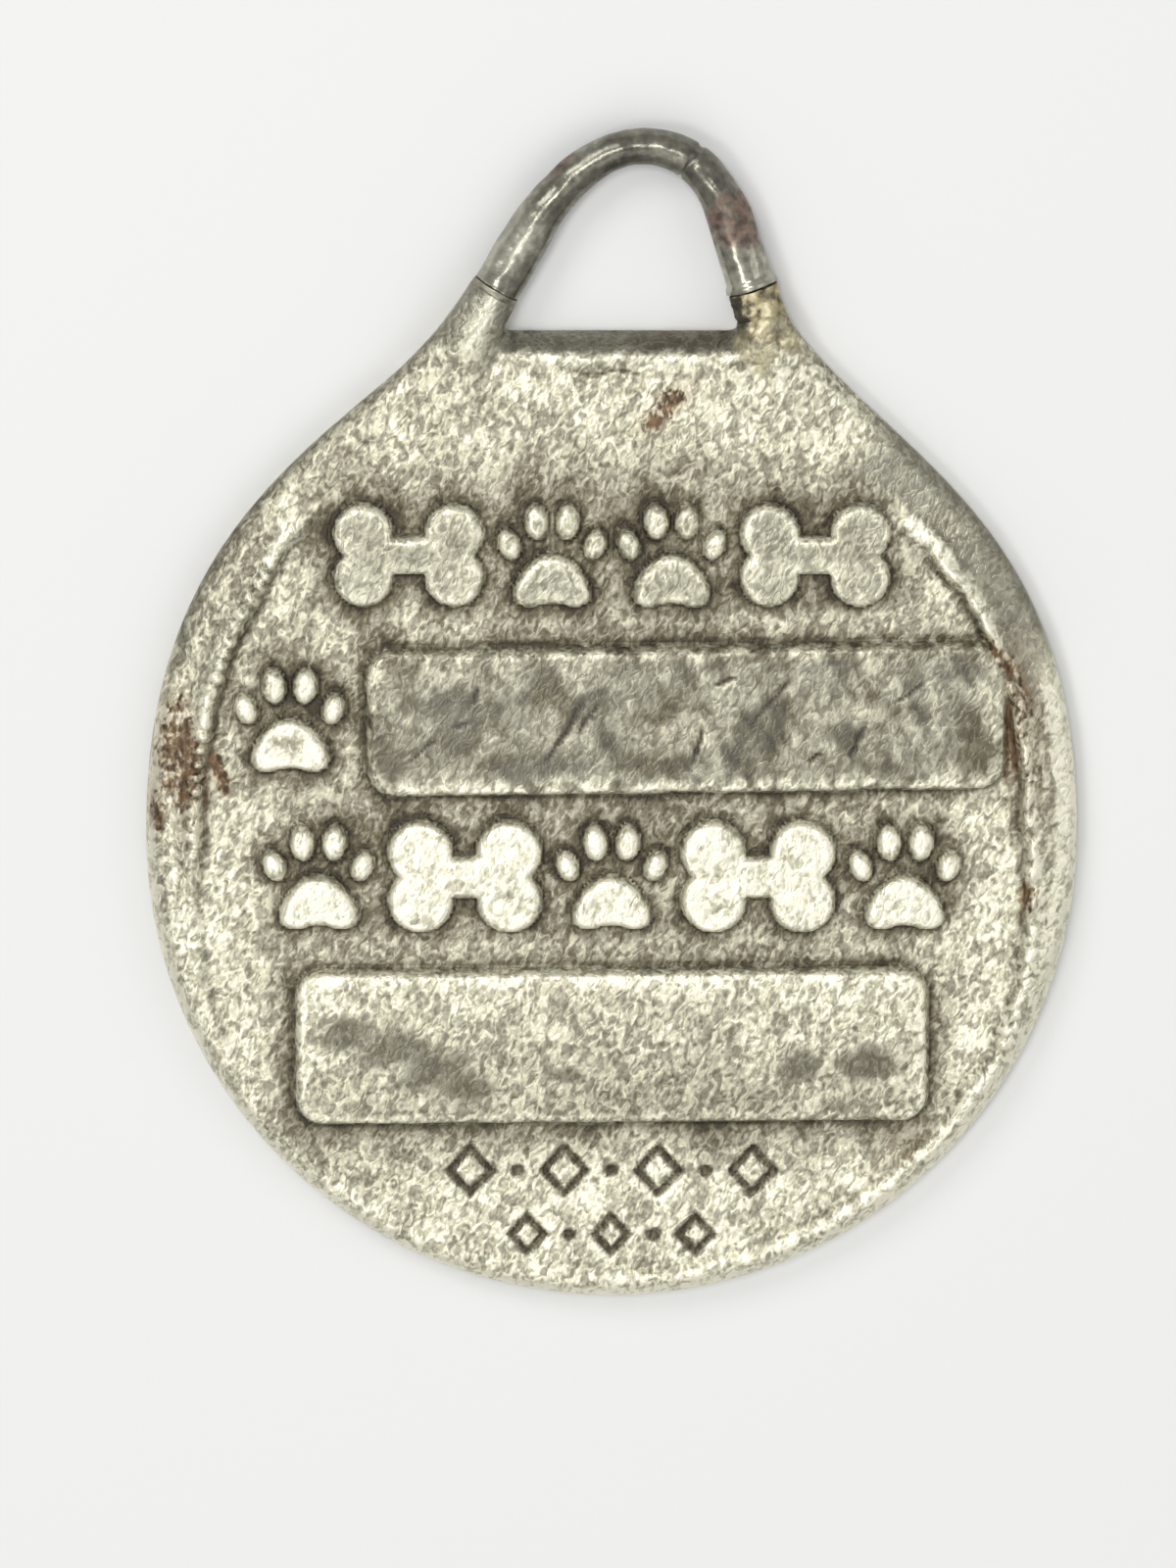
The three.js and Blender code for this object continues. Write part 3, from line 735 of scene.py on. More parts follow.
def top_tone(x, y, at, tone):
    """The casting's top: the worn lip under the eye, the eye's wall darkened as painted shade, the left
    horn with a painted highlight along it, and the sooty hole.
    """
    lip = hump(EYE_BASE - 0.85 - y, 0.2) * at.eye * smooth(-0.4, 0.4, ripple(x, y, 0.5, 167))
    tone = tone + 0.3 * lip - 0.4 * at.crack
    # The eye's wall is darkened: painted shade.
    wall = mix(*EYE_WALL_TONES, smooth(-3.5, 2.0, x + 1.5 * rough(x, y, 1.5, 168)))
    tone = mix(tone, wall + 0.05 * rough(x, y, 0.6, 169), at.eye_wall)
    # A painted highlight along the left horn.
    streak = hump(at.across_left - 0.1 - 0.15 * rough(x, y, 0.9, 170), 0.22)
    tone = mix(tone, LEFT_HORN_TONE + 0.6 * streak + 0.08 * rough(x, y, 0.8, 171), 0.9 * at.left_horn)
    return tone * at.clear


def face_looks(x, y, at):
    """The face's tone, polish, rust and brass stain."""
    tone = field_tone(x, y, at)
    for layer in (rim_tone, raised_tone, top_tone):
        tone = layer(x, y, at, tone)
    tone = mix(tone, CUT_TONE, at.cuts)
    tone = mix(tone, SCRATCH_TONE, at.scratches)
    return {"tone": tone, "polish": at.polish, "rust": at.rust, "brass": at.brass * at.clear}


def back_surface(x, y, inset):
    """The back's height: flat under the disc, with the horns' round undersides beyond it."""
    low = mix(LAND_LOW, EYE_BASE_LOW, eye_share(x, y))
    height = low * (1 - swell(inset, BACK_ROUND))
    height = height + 0.006 * (1 + grain(x, y, 0.9, 91)) * smooth(0.1, 0.5, inset)
    beyond = smooth(0.0, 0.5, -depth_inside(np.stack([x, y], 1), plate_outline()))
    for foot in (LEFT_FOOT, RIGHT_FOOT):
        _, across, arch = horn_section(x, y, foot)
        under = np.minimum(BAIL_HEIGHT - np.minimum(arch, HORN_RADIUS), 0.7)
        height = np.where(np.abs(across) < 1.3, mix(height, under, beyond), height)
    return np.maximum(height, REST_GAP)


def back_looks(x, y, inset):
    """The back's tone, polish, rust and brass stain."""
    return {
        "tone": BACK_TONE + 0.14 * rough(x, y, 4.0, 173) + 0.2 * smooth(0.6, 0.1, inset),
        "polish": 0.3 + 0.3 * smooth(0.0, 0.6, rough(x, y, 6.0, 177)),
        "rust": np.zeros(len(x)),
        "brass": brassy(x, y) * smooth(16.5, 17.5, y),
    }


def grid_of(outline, step):
    """A square grid that covers the outline: its low corner, and its points' X and Y."""
    low = outline.min(0) - step
    counts = np.ceil((outline.max(0) + step - low) / step).astype(int) + 1
    x, y = [low[k] + step * np.arange(counts[k]) for k in (0, 1)]
    return low, *np.meshgrid(x, y, indexing="ij")


def inward(outline):
    """The direction into the casting at each point of its outline."""
    along = np.roll(outline, -1, 0) - np.roll(outline, 1, 0)
    across = along @ np.array([[0, 1], [-1, 0]])
    return across / np.linalg.norm(across, axis=1)[:, None]


def sheet_over(outline, step, ring_insets):
    """A triangle sheet over the outline: a square grid inside, joined to the outline by a band of
    triangles. Its first points are the outline's own."""
    rough_outline = outline[::3]
    low, x, y = grid_of(outline, step)
    inset = depth_inside(np.stack([x.ravel(), y.ravel()], 1), rough_outline).reshape(x.shape)
    kept = inset > max(ring_insets) + 0.35 * step
    cells = kept[:-1, :-1] & kept[1:, :-1] & kept[:-1, 1:] & kept[1:, 1:]
    used = np.zeros(kept.shape, bool)
    for right, up in ((0, 0), (1, 0), (0, 1), (1, 1)):
        used[right:right + cells.shape[0], up:up + cells.shape[1]] |= cells
    number = np.full(kept.shape, -1)
    number[used] = np.arange(used.sum()) + len(outline)
    i, j = np.nonzero(cells)
    a, b, c, d = number[i, j], number[i + 1, j], number[i + 1, j + 1], number[i, j + 1]
    even = ((i + j) % 2 == 0)[:, None]
    first = np.where(even, np.stack([a, b, c], 1), np.stack([a, b, d], 1))
    second = np.where(even, np.stack([a, c, d], 1), np.stack([b, c, d], 1))

    padded = np.pad(cells, 1)
    fence = []
    for start, end, beyond in ((a, b, (0, -1)), (b, c, (1, 0)), (c, d, (0, 1)), (d, a, (-1, 0))):
        open_side = ~padded[i + 1 + beyond[0], j + 1 + beyond[1]]
        fence.append(np.stack([start[open_side], end[open_side]], 1))
    fence = np.concatenate(fence)

    rings = []
    for ring_inset in ring_insets:
        ring = outline + inward(outline) * ring_inset
        rings.append(ring[depth_inside(ring, rough_outline) > 0.85 * ring_inset])
    rings = np.concatenate(rings)

    points = np.concatenate([outline, np.stack([x[used], y[used]], 1), rings])
    rim_numbers = np.concatenate([
        np.arange(len(outline)), np.unique(fence), np.arange(len(points) - len(rings), len(points)),
    ])
    place = {int(n): k for k, n in enumerate(rim_numbers)}
    loop = [(k, (k + 1) % len(outline)) for k in range(len(outline))]
    fences = [(place[int(s)], place[int(e)]) for s, e in fence]
    made = delaunay_2d_cdt([Vector(points[n]) for n in rim_numbers], loop + fences, [], 0, 1e-7)
    source = np.array([rim_numbers[origin[0]] for origin in made[3]])
    band = source[np.array(made[2])]
    centres = points[band].mean(1)
    cell = np.floor((centres - low) / step).astype(int)
    cell = np.clip(cell, 0, np.array(cells.shape) - 1)
    outside_grid = ~cells[cell[:, 0], cell[:, 1]]
    band = band[outside_grid & (depth_inside(centres, outline) > 0)]
    return points, np.concatenate([first, second, band])


def blurred(values, weight, reach):
    """Values on a grid, spread over their neighbours with the given weights."""
    steps = np.arange(-3 * reach, 3 * reach + 1)
    kernel = np.exp(-(steps / reach) ** 2 / 2)

    def spread(field):
        for axis in (0, 1):
            field = np.apply_along_axis(np.convolve, axis, field, kernel, "same")
        return field

    return spread(values * weight) / np.maximum(spread(weight), 1e-9)


def sampled(field, low, step, points):
    """Values of a grid at points between its own."""
    place = (points - low) / step
    cell = np.clip(np.floor(place).astype(int), 0, np.array(field.shape) - 2)
    u, v = np.clip(place - cell, 0, 1).T
    i, j = cell.T
    lower = mix(field[i, j], field[i + 1, j], u)
    upper = mix(field[i, j + 1], field[i + 1, j + 1], u)
    return mix(lower, upper, v)


def hollows(outline, points):
    """How far points of the face lie below the metal round them."""
    low, x, y = grid_of(outline, FACE_STEP)
    flat_x = x.ravel()
    flat_y = y.ravel()
    inset = depth_inside(np.stack([flat_x, flat_y], 1), outline[::3])
    at = face_layout(flat_x, flat_y, np.clip(inset, 0, None))
    height = face_heights(flat_x, flat_y, at).reshape(x.shape)
    weight = (inset > 0.1).reshape(x.shape).astype(float)
    return sampled(blurred(height, weight, 2) - height, low, FACE_STEP, points)


def edge_wall(outline, upper, lower):
    """Rows of points down the casting's edge, between the face's height and the back's."""
    for row in range(1, WALL_ROWS):
        share = row / WALL_ROWS
        bulge = 0.025 * math.sin(math.pi * share) - 0.03
        dents = 0.02 * rough(outline[:, 0] * 1.3, outline[:, 1] * 1.3 + 40 * share, 0.8, 97)
        places = outline - inward(outline) * (bulge + dents)[:, None]
        yield np.column_stack([places, mix(upper, lower, share)])


def added(name, data):
    """A new object in the scene."""
    made = bpy.data.objects.new(name, data)
    bpy.context.scene.collection.objects.link(made)
    return made


def placed(name, mesh, replaced):
    """A finished mesh that rides on the medal's one body."""
    piece = added(name, mesh)
    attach(piece, "root")
    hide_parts(replaced)


def medal(material):
    """The casting, as one closed skin: the face, the edge and the back."""
    outline = medal_outline()
    count = len(outline)

    def insets(points):
        inset = depth_inside(points, outline[::3])
        inset[:count] = 0
        return np.clip(inset, 0, None)

    face_points, face_triangles = sheet_over(outline, FACE_STEP, FACE_RINGS)
    x, y = face_points.T
    at = face_layout(x, y, insets(face_points))
    face_height = face_heights(x, y, at)
    face = face_looks(x, y, at)
    # Darker in hollows and lighter on bumps: grime and wear, partly painted shade.
    settled_grime_and_shade = np.clip(3.0 * hollows(outline, face_points), -0.12, 0.14) * smooth(0.3, 0.8, at.inset)
    face["tone"] = face["tone"] - settled_grime_and_shade

    back_points, back_triangles = sheet_over(outline, BACK_STEP, BACK_RINGS)
    x, y = back_points.T
    back_inset = insets(back_points)
    back_height = back_surface(x, y, back_inset)
    back = back_looks(x, y, back_inset)

    points = np.concatenate([
        np.column_stack([face_points, face_height]),
        *edge_wall(outline, face_height[:count], back_height[:count]),
        np.column_stack([back_points, back_height]),
    ])
    starts = [0, *(len(face_points) + row * count for row in range(WALL_ROWS))]
    sides = []
    for start, next_start in zip(starts[:-1], starts[1:]):
        upper = start + np.arange(count)
        lower = next_start + np.arange(count)
        lower_next = np.roll(lower, -1)
        sides.append(np.stack([upper, lower, lower_next], 1))
        sides.append(np.stack([upper, lower_next, np.roll(upper, -1)], 1))
    triangles = np.concatenate([face_triangles, *sides, back_triangles[:, ::-1] + starts[-1]])

    mesh = bpy.data.meshes.new("medal_casting")
    mesh.from_pydata((points * MM).tolist(), [], triangles.tolist())
    mesh.shade_smooth()
    for key, values in face.items():
        values = np.concatenate([values, np.tile(values[:count], WALL_ROWS - 1), back[key]])
        mesh.attributes.new(key, "FLOAT", "POINT").data.foreach_set("value", values.astype(np.float32))
    mesh.materials.append(material)
    placed("medal_casting", mesh, "medal_disc")


def shade(code):
    """A linear colour from its usual six-digit code."""
    parts = [int(code[k:k + 2], 16) / 255 for k in (0, 2, 4)]
    return tuple(part / 12.92 if part <= 0.04045 else ((part + 0.055) / 1.055) ** 2.4 for part in parts)


class Term:
    """A number in a node tree. Python's own operators add its Math nodes."""

    def __init__(self, bench, socket):
        self.bench = bench
        self.socket = socket

    def math(self, operation, *values, clamp=False):
        inputs = dict(enumerate((self, *values)))
        return self.bench.number("ShaderNodeMath", 0, inputs, operation=operation, use_clamp=clamp)

    def __add__(self, other):
        return self.math("ADD", other)

    __radd__ = __add__

    def __mul__(self, other):
        return self.math("MULTIPLY", other)

    __rmul__ = __mul__

    def __sub__(self, other):
        return self.math("SUBTRACT", other)

    def __rsub__(self, other):
        return self * -1 + other

    def __pow__(self, power):
        return self.math("POWER", power)

    def clamped(self):
        return self.math("ADD", 0.0, clamp=True)

    def between(self, low, high):
        """Nought below low, one above high, with an even turn between."""
        inputs = {"Value": self, "From Min": low, "From Max": high}
        return self.bench.number("ShaderNodeMapRange", "Result", inputs, interpolation_type="SMOOTHSTEP")


class Bench:
    """A node tree that is being built."""

    def __init__(self, tree):
        self.tree = tree

    def node(self, kind, inputs=(), stops=(), **settings):
        """A new node. Its settings are set first, such as a ramp's stops, each a place from 0 to 1 and a
        colour's code, and then its inputs by name or number."""
        node = self.tree.nodes.new(kind)
        for key, value in settings.items():
            setattr(node, key, value)
        # A new ramp has two stops already.
        for _ in stops[2:]:
            node.color_ramp.elements.new(0.5)
        for number, (place, code) in enumerate(stops):
            node.color_ramp.elements[number].position = place
            node.color_ramp.elements[number].color = (*shade(code), 1)
        for key, value in dict(inputs).items():
            self.feed(node.inputs[key], value)
        return node

    def number(self, kind, output, inputs, **settings):
        """One of a new node's outputs, to reckon with."""
        return Term(self, self.node(kind, inputs, **settings).outputs[output])

    def feed(self, socket, value):
        source = value.socket if isinstance(value, Term) else value
        if isinstance(source, bpy.types.NodeSocket):
            self.tree.links.new(source, socket)
        else:
            socket.default_value = source

    def noise(self, place, size, detail=2.0, distortion=0.0):
        """Noise from 0 to 1 with lumps of about the given size in millimetres."""
        inputs = {"Vector": place, "Scale": 1 / (MM * size), "Detail": detail, "Distortion": distortion}
        return self.number("ShaderNodeTexNoise", "Fac", inputs)


class Finish(Bench):
    """One surface finish."""

    def __init__(self, name):
        self.material = bpy.data.materials.new(name)
        self.material.use_nodes = True
        super().__init__(self.material.node_tree)
        self.shader = self.tree.nodes["Principled BSDF"]
        self.place = self.node("ShaderNodeTexCoord").outputs["Object"]

    def attribute(self, name):
        return self.number("ShaderNodeAttribute", "Fac", {}, attribute_name=name)

    def lumps(self, size, seed=0.0, stretch=(1, 1, 1), turn=0.0, **settings):
        """Noise over the piece, stretched along turned axes."""
        shift = [MM * 10 * seed, MM * 7 * seed, 0]
        inputs = {"Vector": self.place, "Location": shift, "Rotation": [0, 0, turn], "Scale": stretch}
        moved = self.node("ShaderNodeMapping", inputs, vector_type="TEXTURE")
        return self.noise(moved.outputs[0], size, **settings)

    def colours(self, share, stops):
        """A colour that runs through the stops."""
        return self.node("ShaderNodeValToRGB", {"Fac": share}, stops).outputs["Color"]

    def blend(self, share, first, second):
        node = self.node("ShaderNodeMix", {"Factor": share}, data_type="RGBA")
        for socket, value in ((node.inputs[6], first), (node.inputs[7], second)):
            self.feed(socket, value if isinstance(value, bpy.types.NodeSocket) else (*value, 1))
        return node.outputs[2]

    def close_to(self, x, y, reach, ragged):
        """One near a place on the medal, with a ragged edge."""
        inputs = {0: self.place, 1: (x * MM, y * MM, MM)}
        away = self.number("ShaderNodeVectorMath", "Value", inputs, operation="DISTANCE")
        return 1 - (away * (1 / (MM * reach)) + ragged).between(0.6, 1.1)

    def bumped(self, height, distance, strength):
        inputs = {"Height": height, "Distance": distance * MM, "Strength": strength}
        self.feed(self.shader.inputs["Normal"], self.node("ShaderNodeBump", inputs).outputs[0])

    def set(self, **values):
        for key, value in values.items():
            self.feed(self.shader.inputs[key.replace("_", " ")], value)


class Form(Bench):
    """A Geometry Nodes tree that turns a centre line into a body. Its sizes are named inputs, in metres."""

    def __init__(self, name, sizes):
        super().__init__(bpy.data.node_groups.new(name, "GeometryNodeTree"))
        interface = self.tree.interface
        interface.new_socket("Centre Line", in_out="INPUT", socket_type="NodeSocketGeometry")
        for size in sizes:
            interface.new_socket(size, in_out="INPUT", socket_type="NodeSocketFloat")
        interface.new_socket("Body", in_out="OUTPUT", socket_type="NodeSocketGeometry")
        self.given = self.node("NodeGroupInput").outputs

    def size(self, name):
        return Term(self, self.given[name])

    def changed(self, kind, geometry, **inputs):
        """The geometry after one more node, whose other inputs are given by name."""
        return self.node(kind, {"Geometry": geometry, **inputs}).outputs[0]

    def finish_with(self, body, material):
        body = self.changed("GeometryNodeRealizeInstances", body)
        body = self.changed("GeometryNodeSetShadeSmooth", body)
        body = self.changed("GeometryNodeSetMaterial", body, Material=material)
        self.node("NodeGroupOutput", {"Body": body})

    def body_of(self, name, line, sizes):
        """The mesh that the tree makes of a flat line of points, with its sizes in millimetres."""
        curve = bpy.data.curves.new(name, "CURVE")
        curve.dimensions = "3D"
        spline = curve.splines.new("POLY")
        spline.points.add(len(line) - 1)
        heights = np.full(len(line), BAIL_HEIGHT)
        weights = np.full(len(line), 1 / MM)
        spline.points.foreach_set("co", (np.column_stack([line, heights, weights]) * MM).ravel())
        drawn = added(name, curve)
        modifier = drawn.modifiers.new("form", "NODES")
        modifier.node_group = self.tree
        for item in self.tree.interface.items_tree:
            if item.in_out == "INPUT" and item.name in sizes:
                modifier[item.identifier] = sizes[item.name] * MM
        depsgraph = bpy.context.evaluated_depsgraph_get()
        mesh = bpy.data.meshes.new_from_object(drawn.evaluated_get(depsgraph))
        bpy.data.objects.remove(drawn)
        return mesh


# Each finish's colours along its ramp, and the stretch and slant of the casting's grain.
PEWTER_COLOURS = ((0.0, "3d372d"), (0.25, "68624f"), (0.5, "959180"), (0.75, "c3c0a8"), (1.0, "efebd6"))
BRASS_COLOURS = ((0.28, "686049"), (0.45, "948a6c"), (0.58, "b5a982"), (0.72, "e3dabb"))
WIRE_COLOURS = ((0.0, "504e46"), (0.5, "807e71"), (1.0, "b3b1a1"))
SOLDER_COLOURS = ((0.2, "5c584c"), (0.8, "b0ad9a"))
CASTING_RUST = ((0.42, "7d6449"), (0.66, "3b2c1e"))
WIRE_RUST = ((0.35, "38261f"), (0.65, "74584a"))
GRAIN = {"distortion": 1.1, "stretch": (1, 1.7, 1), "turn": -0.45}
GRIT = {"distortion": 0.5, "stretch": (1, 1.5, 1), "turn": -0.45}


def mend_lumps(finish):
    return finish.lumps(0.38, detail=2.5, distortion=0.2, seed=7.0)


def pewter_finish():
    """Aged as-cast pewter: bright on the worn grain, brown-grey where grime has gathered and where shade is
    painted into the tone.
    """
    f = Finish("aged_pewter")
    polish = f.attribute("polish")
    worm = f.lumps(0.29, detail=1.5, **GRAIN).between(0.36, 0.64)
    speck = f.lumps(0.14, seed=3.1, **GRIT)
    coarse = f.lumps(1.1, seed=5.5)
    grit = (worm - 0.5) * 0.4 + (speck - 0.5) * 0.95 + (coarse - 0.5) * 0.35
    tone = f.attribute("tone")
    seen = (tone + grit * (1 - polish * 0.55) * (tone * 0.75 + 0.42)).clamped()
    cool = (polish * (f.lumps(2.2, seed=8.0) - 0.25)).clamped() * 0.8
    colour = f.blend(cool, f.colours(seen, PEWTER_COLOURS), shade("7f817b"))
    rust = f.attribute("rust")
    flecks = f.lumps(0.18, detail=2.5, seed=6.0, stretch=(1, 1.8, 1), turn=0.1)
    stain = rust + (f.lumps(0.6, seed=2.0) - 0.5) * 0.8 + (flecks - 0.5) * 1.6 - (seen - 0.6) * 0.8
    stain = stain.between(0.35, 0.95) * rust.between(0.1, 0.5) * 0.9
    colour = f.blend(rust * 0.5, colour, shade("957d62"))
    colour = f.blend(stain, colour, f.colours(flecks, CASTING_RUST))
    mended = (f.attribute("brass") + (coarse - 0.5) * 1.2).between(0.3, 1.0) * 0.7
    colour = f.blend(mended, colour, f.colours(mend_lumps(f), BRASS_COLOURS))
    f.set(Base_Color=colour, Metallic=0.75, Roughness=0.47 - polish * 0.1 + stain * 0.2)
    f.bumped(worm * 0.4 + speck * 0.6, 0.06, 0.6)
    return f.material


def wire_finish():
    """Tinned steel wire: smooth and dull, dark at the crown as painted shade, lighter on the side that
    faces the upper left as painted light, with rust by the right foot.
    """
    f = Finish("worn_wire")
    patches = f.lumps(1.2, detail=3.0, seed=1.3)
    specks = f.lumps(0.28, seed=5.0)
    # Painted shade: the crown is darker.
    high = f.number("ShaderNodeSeparateXYZ", "Y", {0: f.place}).between(20.5 * MM, 23.5 * MM)
    ragged = (f.lumps(0.55, detail=3.0, seed=9.0) - 0.5) * 1.3
    foot = f.close_to(4.5, 19.3, 1.0, ragged)
    # Painted light: the side that faces the upper left is lighter.
    tone = 0.66 - high * 0.46 + foot * 0.3 + f.attribute("painted_side_light") * 0.25
    tone = (tone + (patches - 0.5) * 1.1 + (specks - 0.5) * 0.9).clamped()
    rust = f.close_to(4.1, 21.2, 1.3, ragged).math("MAXIMUM", f.close_to(-1.95, 23.3, 0.75, ragged))
    colour = f.blend(rust * 0.8, f.colours(tone, WIRE_COLOURS), f.colours(specks, WIRE_RUST))
    roughness = 0.26 + rust * 0.15 + (patches - 0.5) * 0.2
    f.set(Base_Color=colour, Metallic=0.75 - rust * 0.4, Roughness=roughness)
    f.bumped(patches * 0.6 + specks * 0.4, 0.06, 0.6)
    return f.material


def solder_finish():
    f = Finish("dull_solder")
    lumps = f.lumps(0.4)
    f.set(Base_Color=f.colours(lumps, SOLDER_COLOURS), Metallic=0.7, Roughness=0.42)
    f.bumped(lumps, 0.03, 0.5)
    return f.material


def braze_finish():
    """The yellow mend, with soot round the hole in it."""
    f = Finish("yellow_mend")
    lumps = mend_lumps(f)
    soot = f.close_to(*SOOT_PLACE, 1.4, (lumps - 0.5) * 2.2)
    colour = f.blend(soot * 0.9, f.colours(lumps, BRASS_COLOURS), shade("221e1a"))
    f.set(Base_Color=colour, Metallic=0.6 - soot * 0.4, Roughness=0.6)
    f.bumped(lumps, 0.07, 0.7)
    return f.material


# The wire and the solder are bars along a line. A crease runs round the wire near its crown.
CREASE_PLACE = (2.75, 23.4)
CREASE_WIDTH = 0.14
CREASE_DEPTH = 0.08
BAR_SIDES = 56
BAR_SIZES = (
    "End Radius", "Middle Radius", "Far Lip", "Ridge", "Dent Depth", "Crease Depth", "Crease Place",
)
LIP_REACH = (0.975, 0.992)
RIDGE_SHARPNESS = 6
DENT_LEVEL = 0.6
WIRE_STEP = 0.06
# The direction that the wire's painted light comes from.
PAINTED_LIGHT_SIDE = (-0.6, 0.8, 0)
COLLAR_POINTS = 40
COLLAR_IN_HORN = 0.12
COLLAR_TO_SEAM = 0.03


def bar_form(name, material, dent_size):
    """A round bar along a line: its radius changes from the ends to the middle, and its skin is dented."""
    f = Form(name, BAR_SIZES)
    spline = f.node("GeometryNodeSplineParameter").outputs
    share = Term(f, spline["Factor"])
    middle = (share * math.pi).math("SINE") ** 2
    radius = f.size("End Radius") + (f.size("Middle Radius") - f.size("End Radius")) * middle
    radius = radius + f.size("Far Lip") * share.between(*LIP_REACH)
    from_crease = (Term(f, spline["Length"]) - f.size("Crease Place")).math("ABSOLUTE")
    radius = radius - (1 - from_crease.between(0, CREASE_WIDTH * MM)) * f.size("Crease Depth")
    keep = "GeometryNodeStoreNamedAttribute"
    line = f.changed(keep, f.given["Centre Line"], Name="middle", Value=middle)
    section = f.node("GeometryNodeCurvePrimitiveCircle", {"Resolution": BAR_SIDES, "Radius": 1.0})
    bar = f.node("GeometryNodeCurveToMesh", {
        "Curve": line, "Profile Curve": section.outputs[0], "Scale": radius, "Fill Caps": True,
    })
    normal = f.node("GeometryNodeInputNormal").outputs["Normal"]
    place = f.node("GeometryNodeInputPosition").outputs["Position"]
    up = f.number("ShaderNodeSeparateXYZ", "Z", {0: normal}).clamped()
    at_middle = f.number("GeometryNodeInputNamedAttribute", 0, {"Name": "middle"})
    ridge = f.size("Ridge") * at_middle * up ** RIDGE_SHARPNESS
    dents = (f.noise(place, dent_size, detail=1.5) - DENT_LEVEL) * f.size("Dent Depth") * 2
    step = f.node("ShaderNodeVectorMath", {0: normal, "Scale": ridge + dents}, operation="SCALE")
    moved = f.changed("GeometryNodeSetPosition", bar.outputs[0], Offset=step.outputs[0])
    # How far the skin faces the upper left, stored for the wire's painted light.
    painted_side_light = f.number("ShaderNodeVectorMath", "Value", {0: normal, 1: PAINTED_LIGHT_SIDE}, operation="DOT_PRODUCT")
    f.finish_with(f.changed(keep, moved, Name="painted_side_light", Value=painted_side_light), material)
    return f


def bail_line():
    """The bail's centre line from the left seam up its leg, over the crown and down to the right seam."""
    left, right = [
        [foot_point(foot, along, 0) for along in (0, foot["leg"], foot["leg"] + foot["bend"])]
        for foot in (LEFT_FOOT, RIGHT_FOOT)
    ]
    return evenly(np.concatenate([
        bezier(left[:2], 60),
        bezier([*left[1:], CROWN - (CROWN_REACH_LEFT, 0), CROWN], 200),
        bezier([CROWN, CROWN + (CROWN_REACH_RIGHT, 0), *right[:0:-1]], 200),
        bezier(right[1::-1], 60),
        right[:1],
    ]), WIRE_STEP)


def wire():
    line = bail_line()
    from_crease = np.hypot(*(line - CREASE_PLACE).T)
    sizes = {
        "End Radius": WIRE_RADIUS, "Middle Radius": CROWN_RADIUS, "Far Lip": 0.08, "Ridge": 0.05,
        "Dent Depth": 0.07, "Crease Depth": CREASE_DEPTH, "Crease Place": from_crease.argmin() * WIRE_STEP,
    }
    form = bar_form("bent_wire", wire_finish(), 1.1)
    placed("bail", form.body_of("bail", line, sizes), "bail_wire")


def solder_joint(name, form, foot, replaced, sizes):
    """Solder between a horn and the wire."""
    share = np.linspace(0, 1, COLLAR_POINTS)[:, None]
    along = mix(-foot["solder"] - COLLAR_IN_HORN, -COLLAR_TO_SEAM, share)
    placed(name, form.body_of(name, foot["seam"] + along * heading(foot["angle"]), sizes), replaced)


def solder_joints():
    film = {"End Radius": 0.82, "Middle Radius": 0.85, "Dent Depth": 0.02}
    mend = {"End Radius": 0.86, "Middle Radius": 0.86, "Far Lip": -0.22, "Dent Depth": 0.2}
    solder = bar_form("solder_film", solder_finish(), 0.6)
    braze = bar_form("lumpy_mend", braze_finish(), 0.5)
    solder_joint("left_solder", solder, LEFT_FOOT, "left_solder_joint", film)
    solder_joint("right_mend", braze, RIGHT_FOOT, "right_solder_joint", mend)


# The studio, in metres. Each lamp has a place, a size and a power, and looks at the medal.
FLOOR_REACH = 1.2
PAPER = (0.72, 0.72, 0.71)
FAR_PAPER = (0.8, 0.8, 0.79)
LIT_REACH = (0.07, 0.3)
SKY_LIGHT = 0.45
LAMPS = {
    "overhead": ((-0.03, 0.1, 0.33), 0.07, 0.28),
    "window": ((-0.14, 0.2, 0.22), 0.12, 0.26),
    "side": ((-0.12, -0.02, 0.31), 0.07, 0.18),
    "room": ((0.0, -0.2, 0.3), 0.3, 0.29),
    "doorway": ((0.25, 0.02, 0.2), 0.2, 0.16),
}


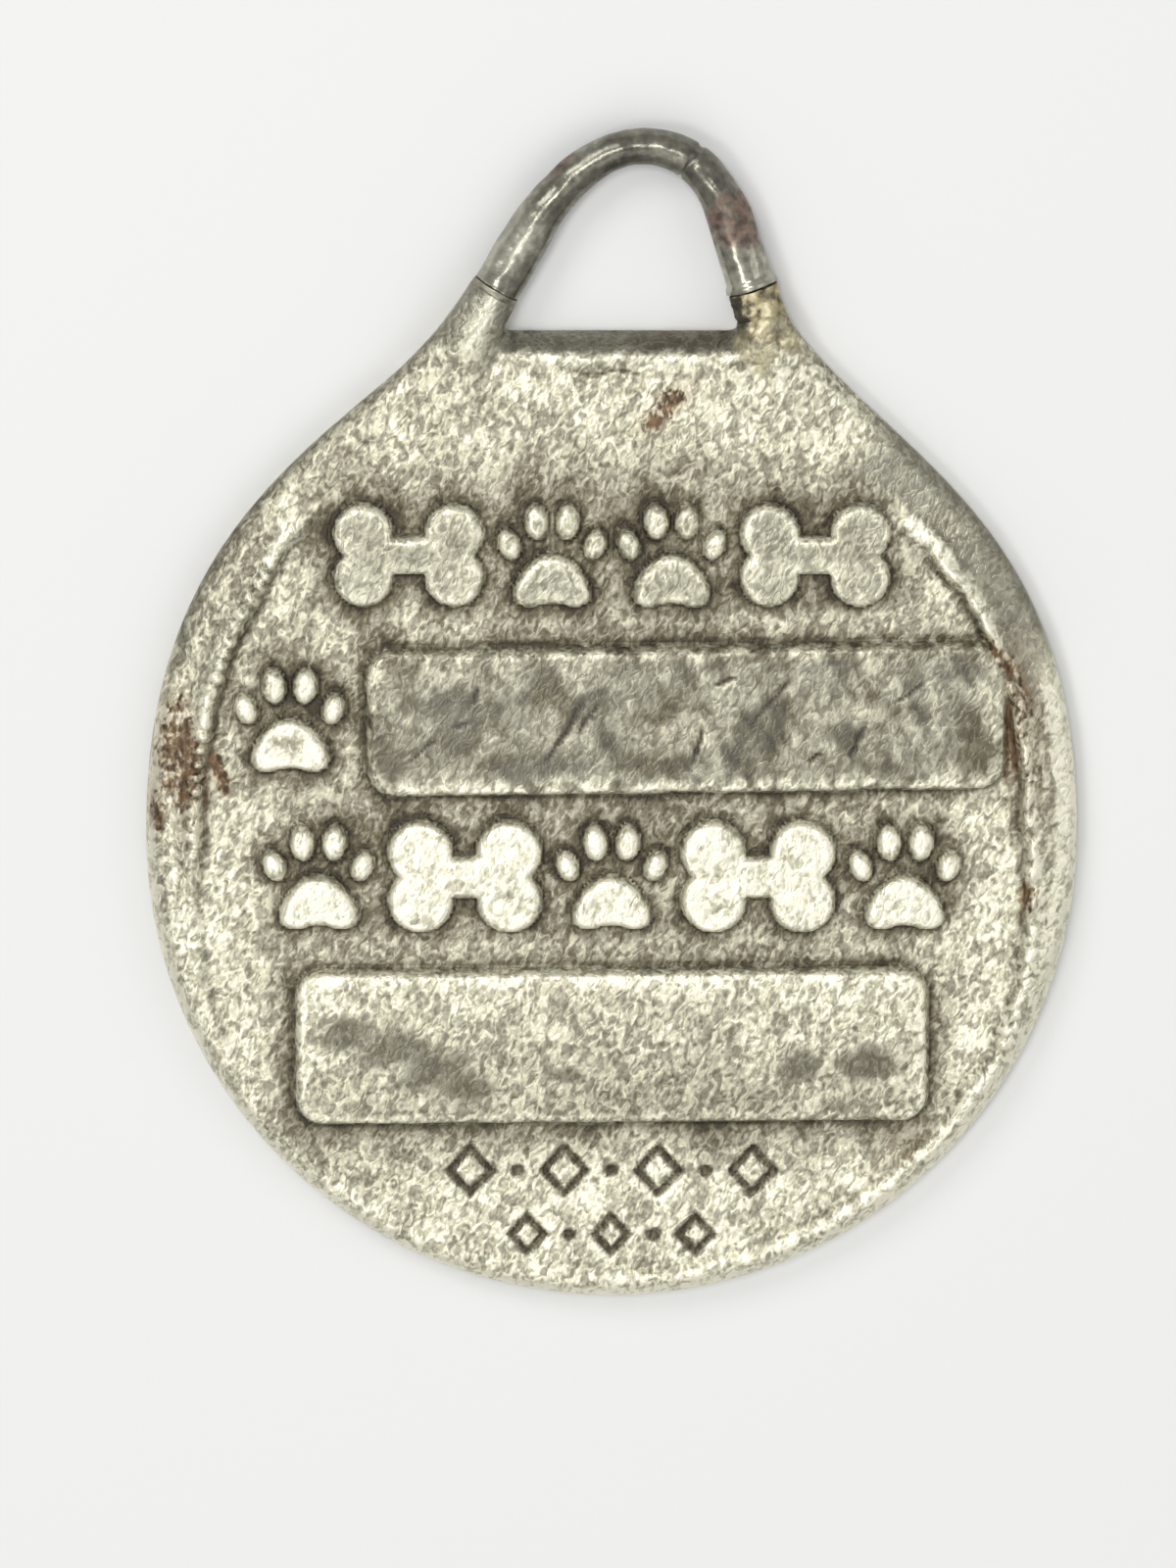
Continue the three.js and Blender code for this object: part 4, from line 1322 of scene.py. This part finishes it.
def paper_finish():
    """Pale paper under the medal. Far from the lamps it keeps its tone, like a backdrop."""
    f = Finish("pale_paper")
    rays = f.node("ShaderNodeLightPath").outputs
    seen = Term(f, rays["Is Camera Ray"]) + Term(f, rays["Is Glossy Ray"])
    away = f.number("ShaderNodeVectorMath", "Value", {0: f.place}, operation="LENGTH")
    far = away.between(*LIT_REACH) * seen
    f.set(Base_Color=f.blend(far, PAPER, (0, 0, 0)), Roughness=0.9)
    f.set(Emission_Color=f.blend(far, (0, 0, 0), FAR_PAPER), Emission_Strength=1)
    return f.material


def studio():
    """A pale floor and soft light."""
    low = -FLOOR_REACH
    high = FLOOR_REACH
    mesh = bpy.data.meshes.new("floor")
    mesh.from_pydata([(low, low, 0), (high, low, 0), (high, high, 0), (low, high, 0)], [], [(0, 1, 2, 3)])
    mesh.materials.append(paper_finish())
    added("floor", mesh)

    world = bpy.data.worlds.new("studio")
    world.use_nodes = True
    background = world.node_tree.nodes["Background"]
    background.inputs["Color"].default_value = (1, 1, 1, 1)
    background.inputs["Strength"].default_value = SKY_LIGHT
    bpy.context.scene.world = world

    for name, (place, size, power) in LAMPS.items():
        light = bpy.data.lights.new(name, "AREA")
        light.size = size
        light.energy = power
        lamp = added(name, light)
        lamp.location = place
        lamp.rotation_euler = (-Vector(place)).to_track_quat("-Z", "Y").to_euler()


# The camera leans towards the bail's end. The picture is 1200 by 1600 pixels, 30 of them to a millimetre.
CAMERA_TILT = math.radians(12)
CAMERA_DISTANCE = 220
CAMERA_TARGET = Vector((-0.8015, 1.9631, 1.0))
FOCAL_PIXELS = 6600
PICTURE_HEIGHT = 1600
SENSOR = 36


def camera():
    back = Vector((0, math.sin(CAMERA_TILT), math.cos(CAMERA_TILT)))
    up = Vector((0, math.cos(CAMERA_TILT), -math.sin(CAMERA_TILT)))
    axes = Matrix((up.cross(back), up, back)).transposed().to_4x4()
    data = bpy.data.cameras.new("camera")
    data.sensor_width = SENSOR
    data.lens = FOCAL_PIXELS * SENSOR / PICTURE_HEIGHT
    data.clip_start = 0.01
    data.clip_end = 10
    made = added("camera", data)
    made.matrix_world = Matrix.Translation((CAMERA_TARGET + back * CAMERA_DISTANCE) * MM) @ axes
    bpy.context.scene.camera = made


camera()
studio()
medal(pewter_finish())
wire()
solder_joints()

bpy.context.scene.view_settings.view_transform = "Standard"
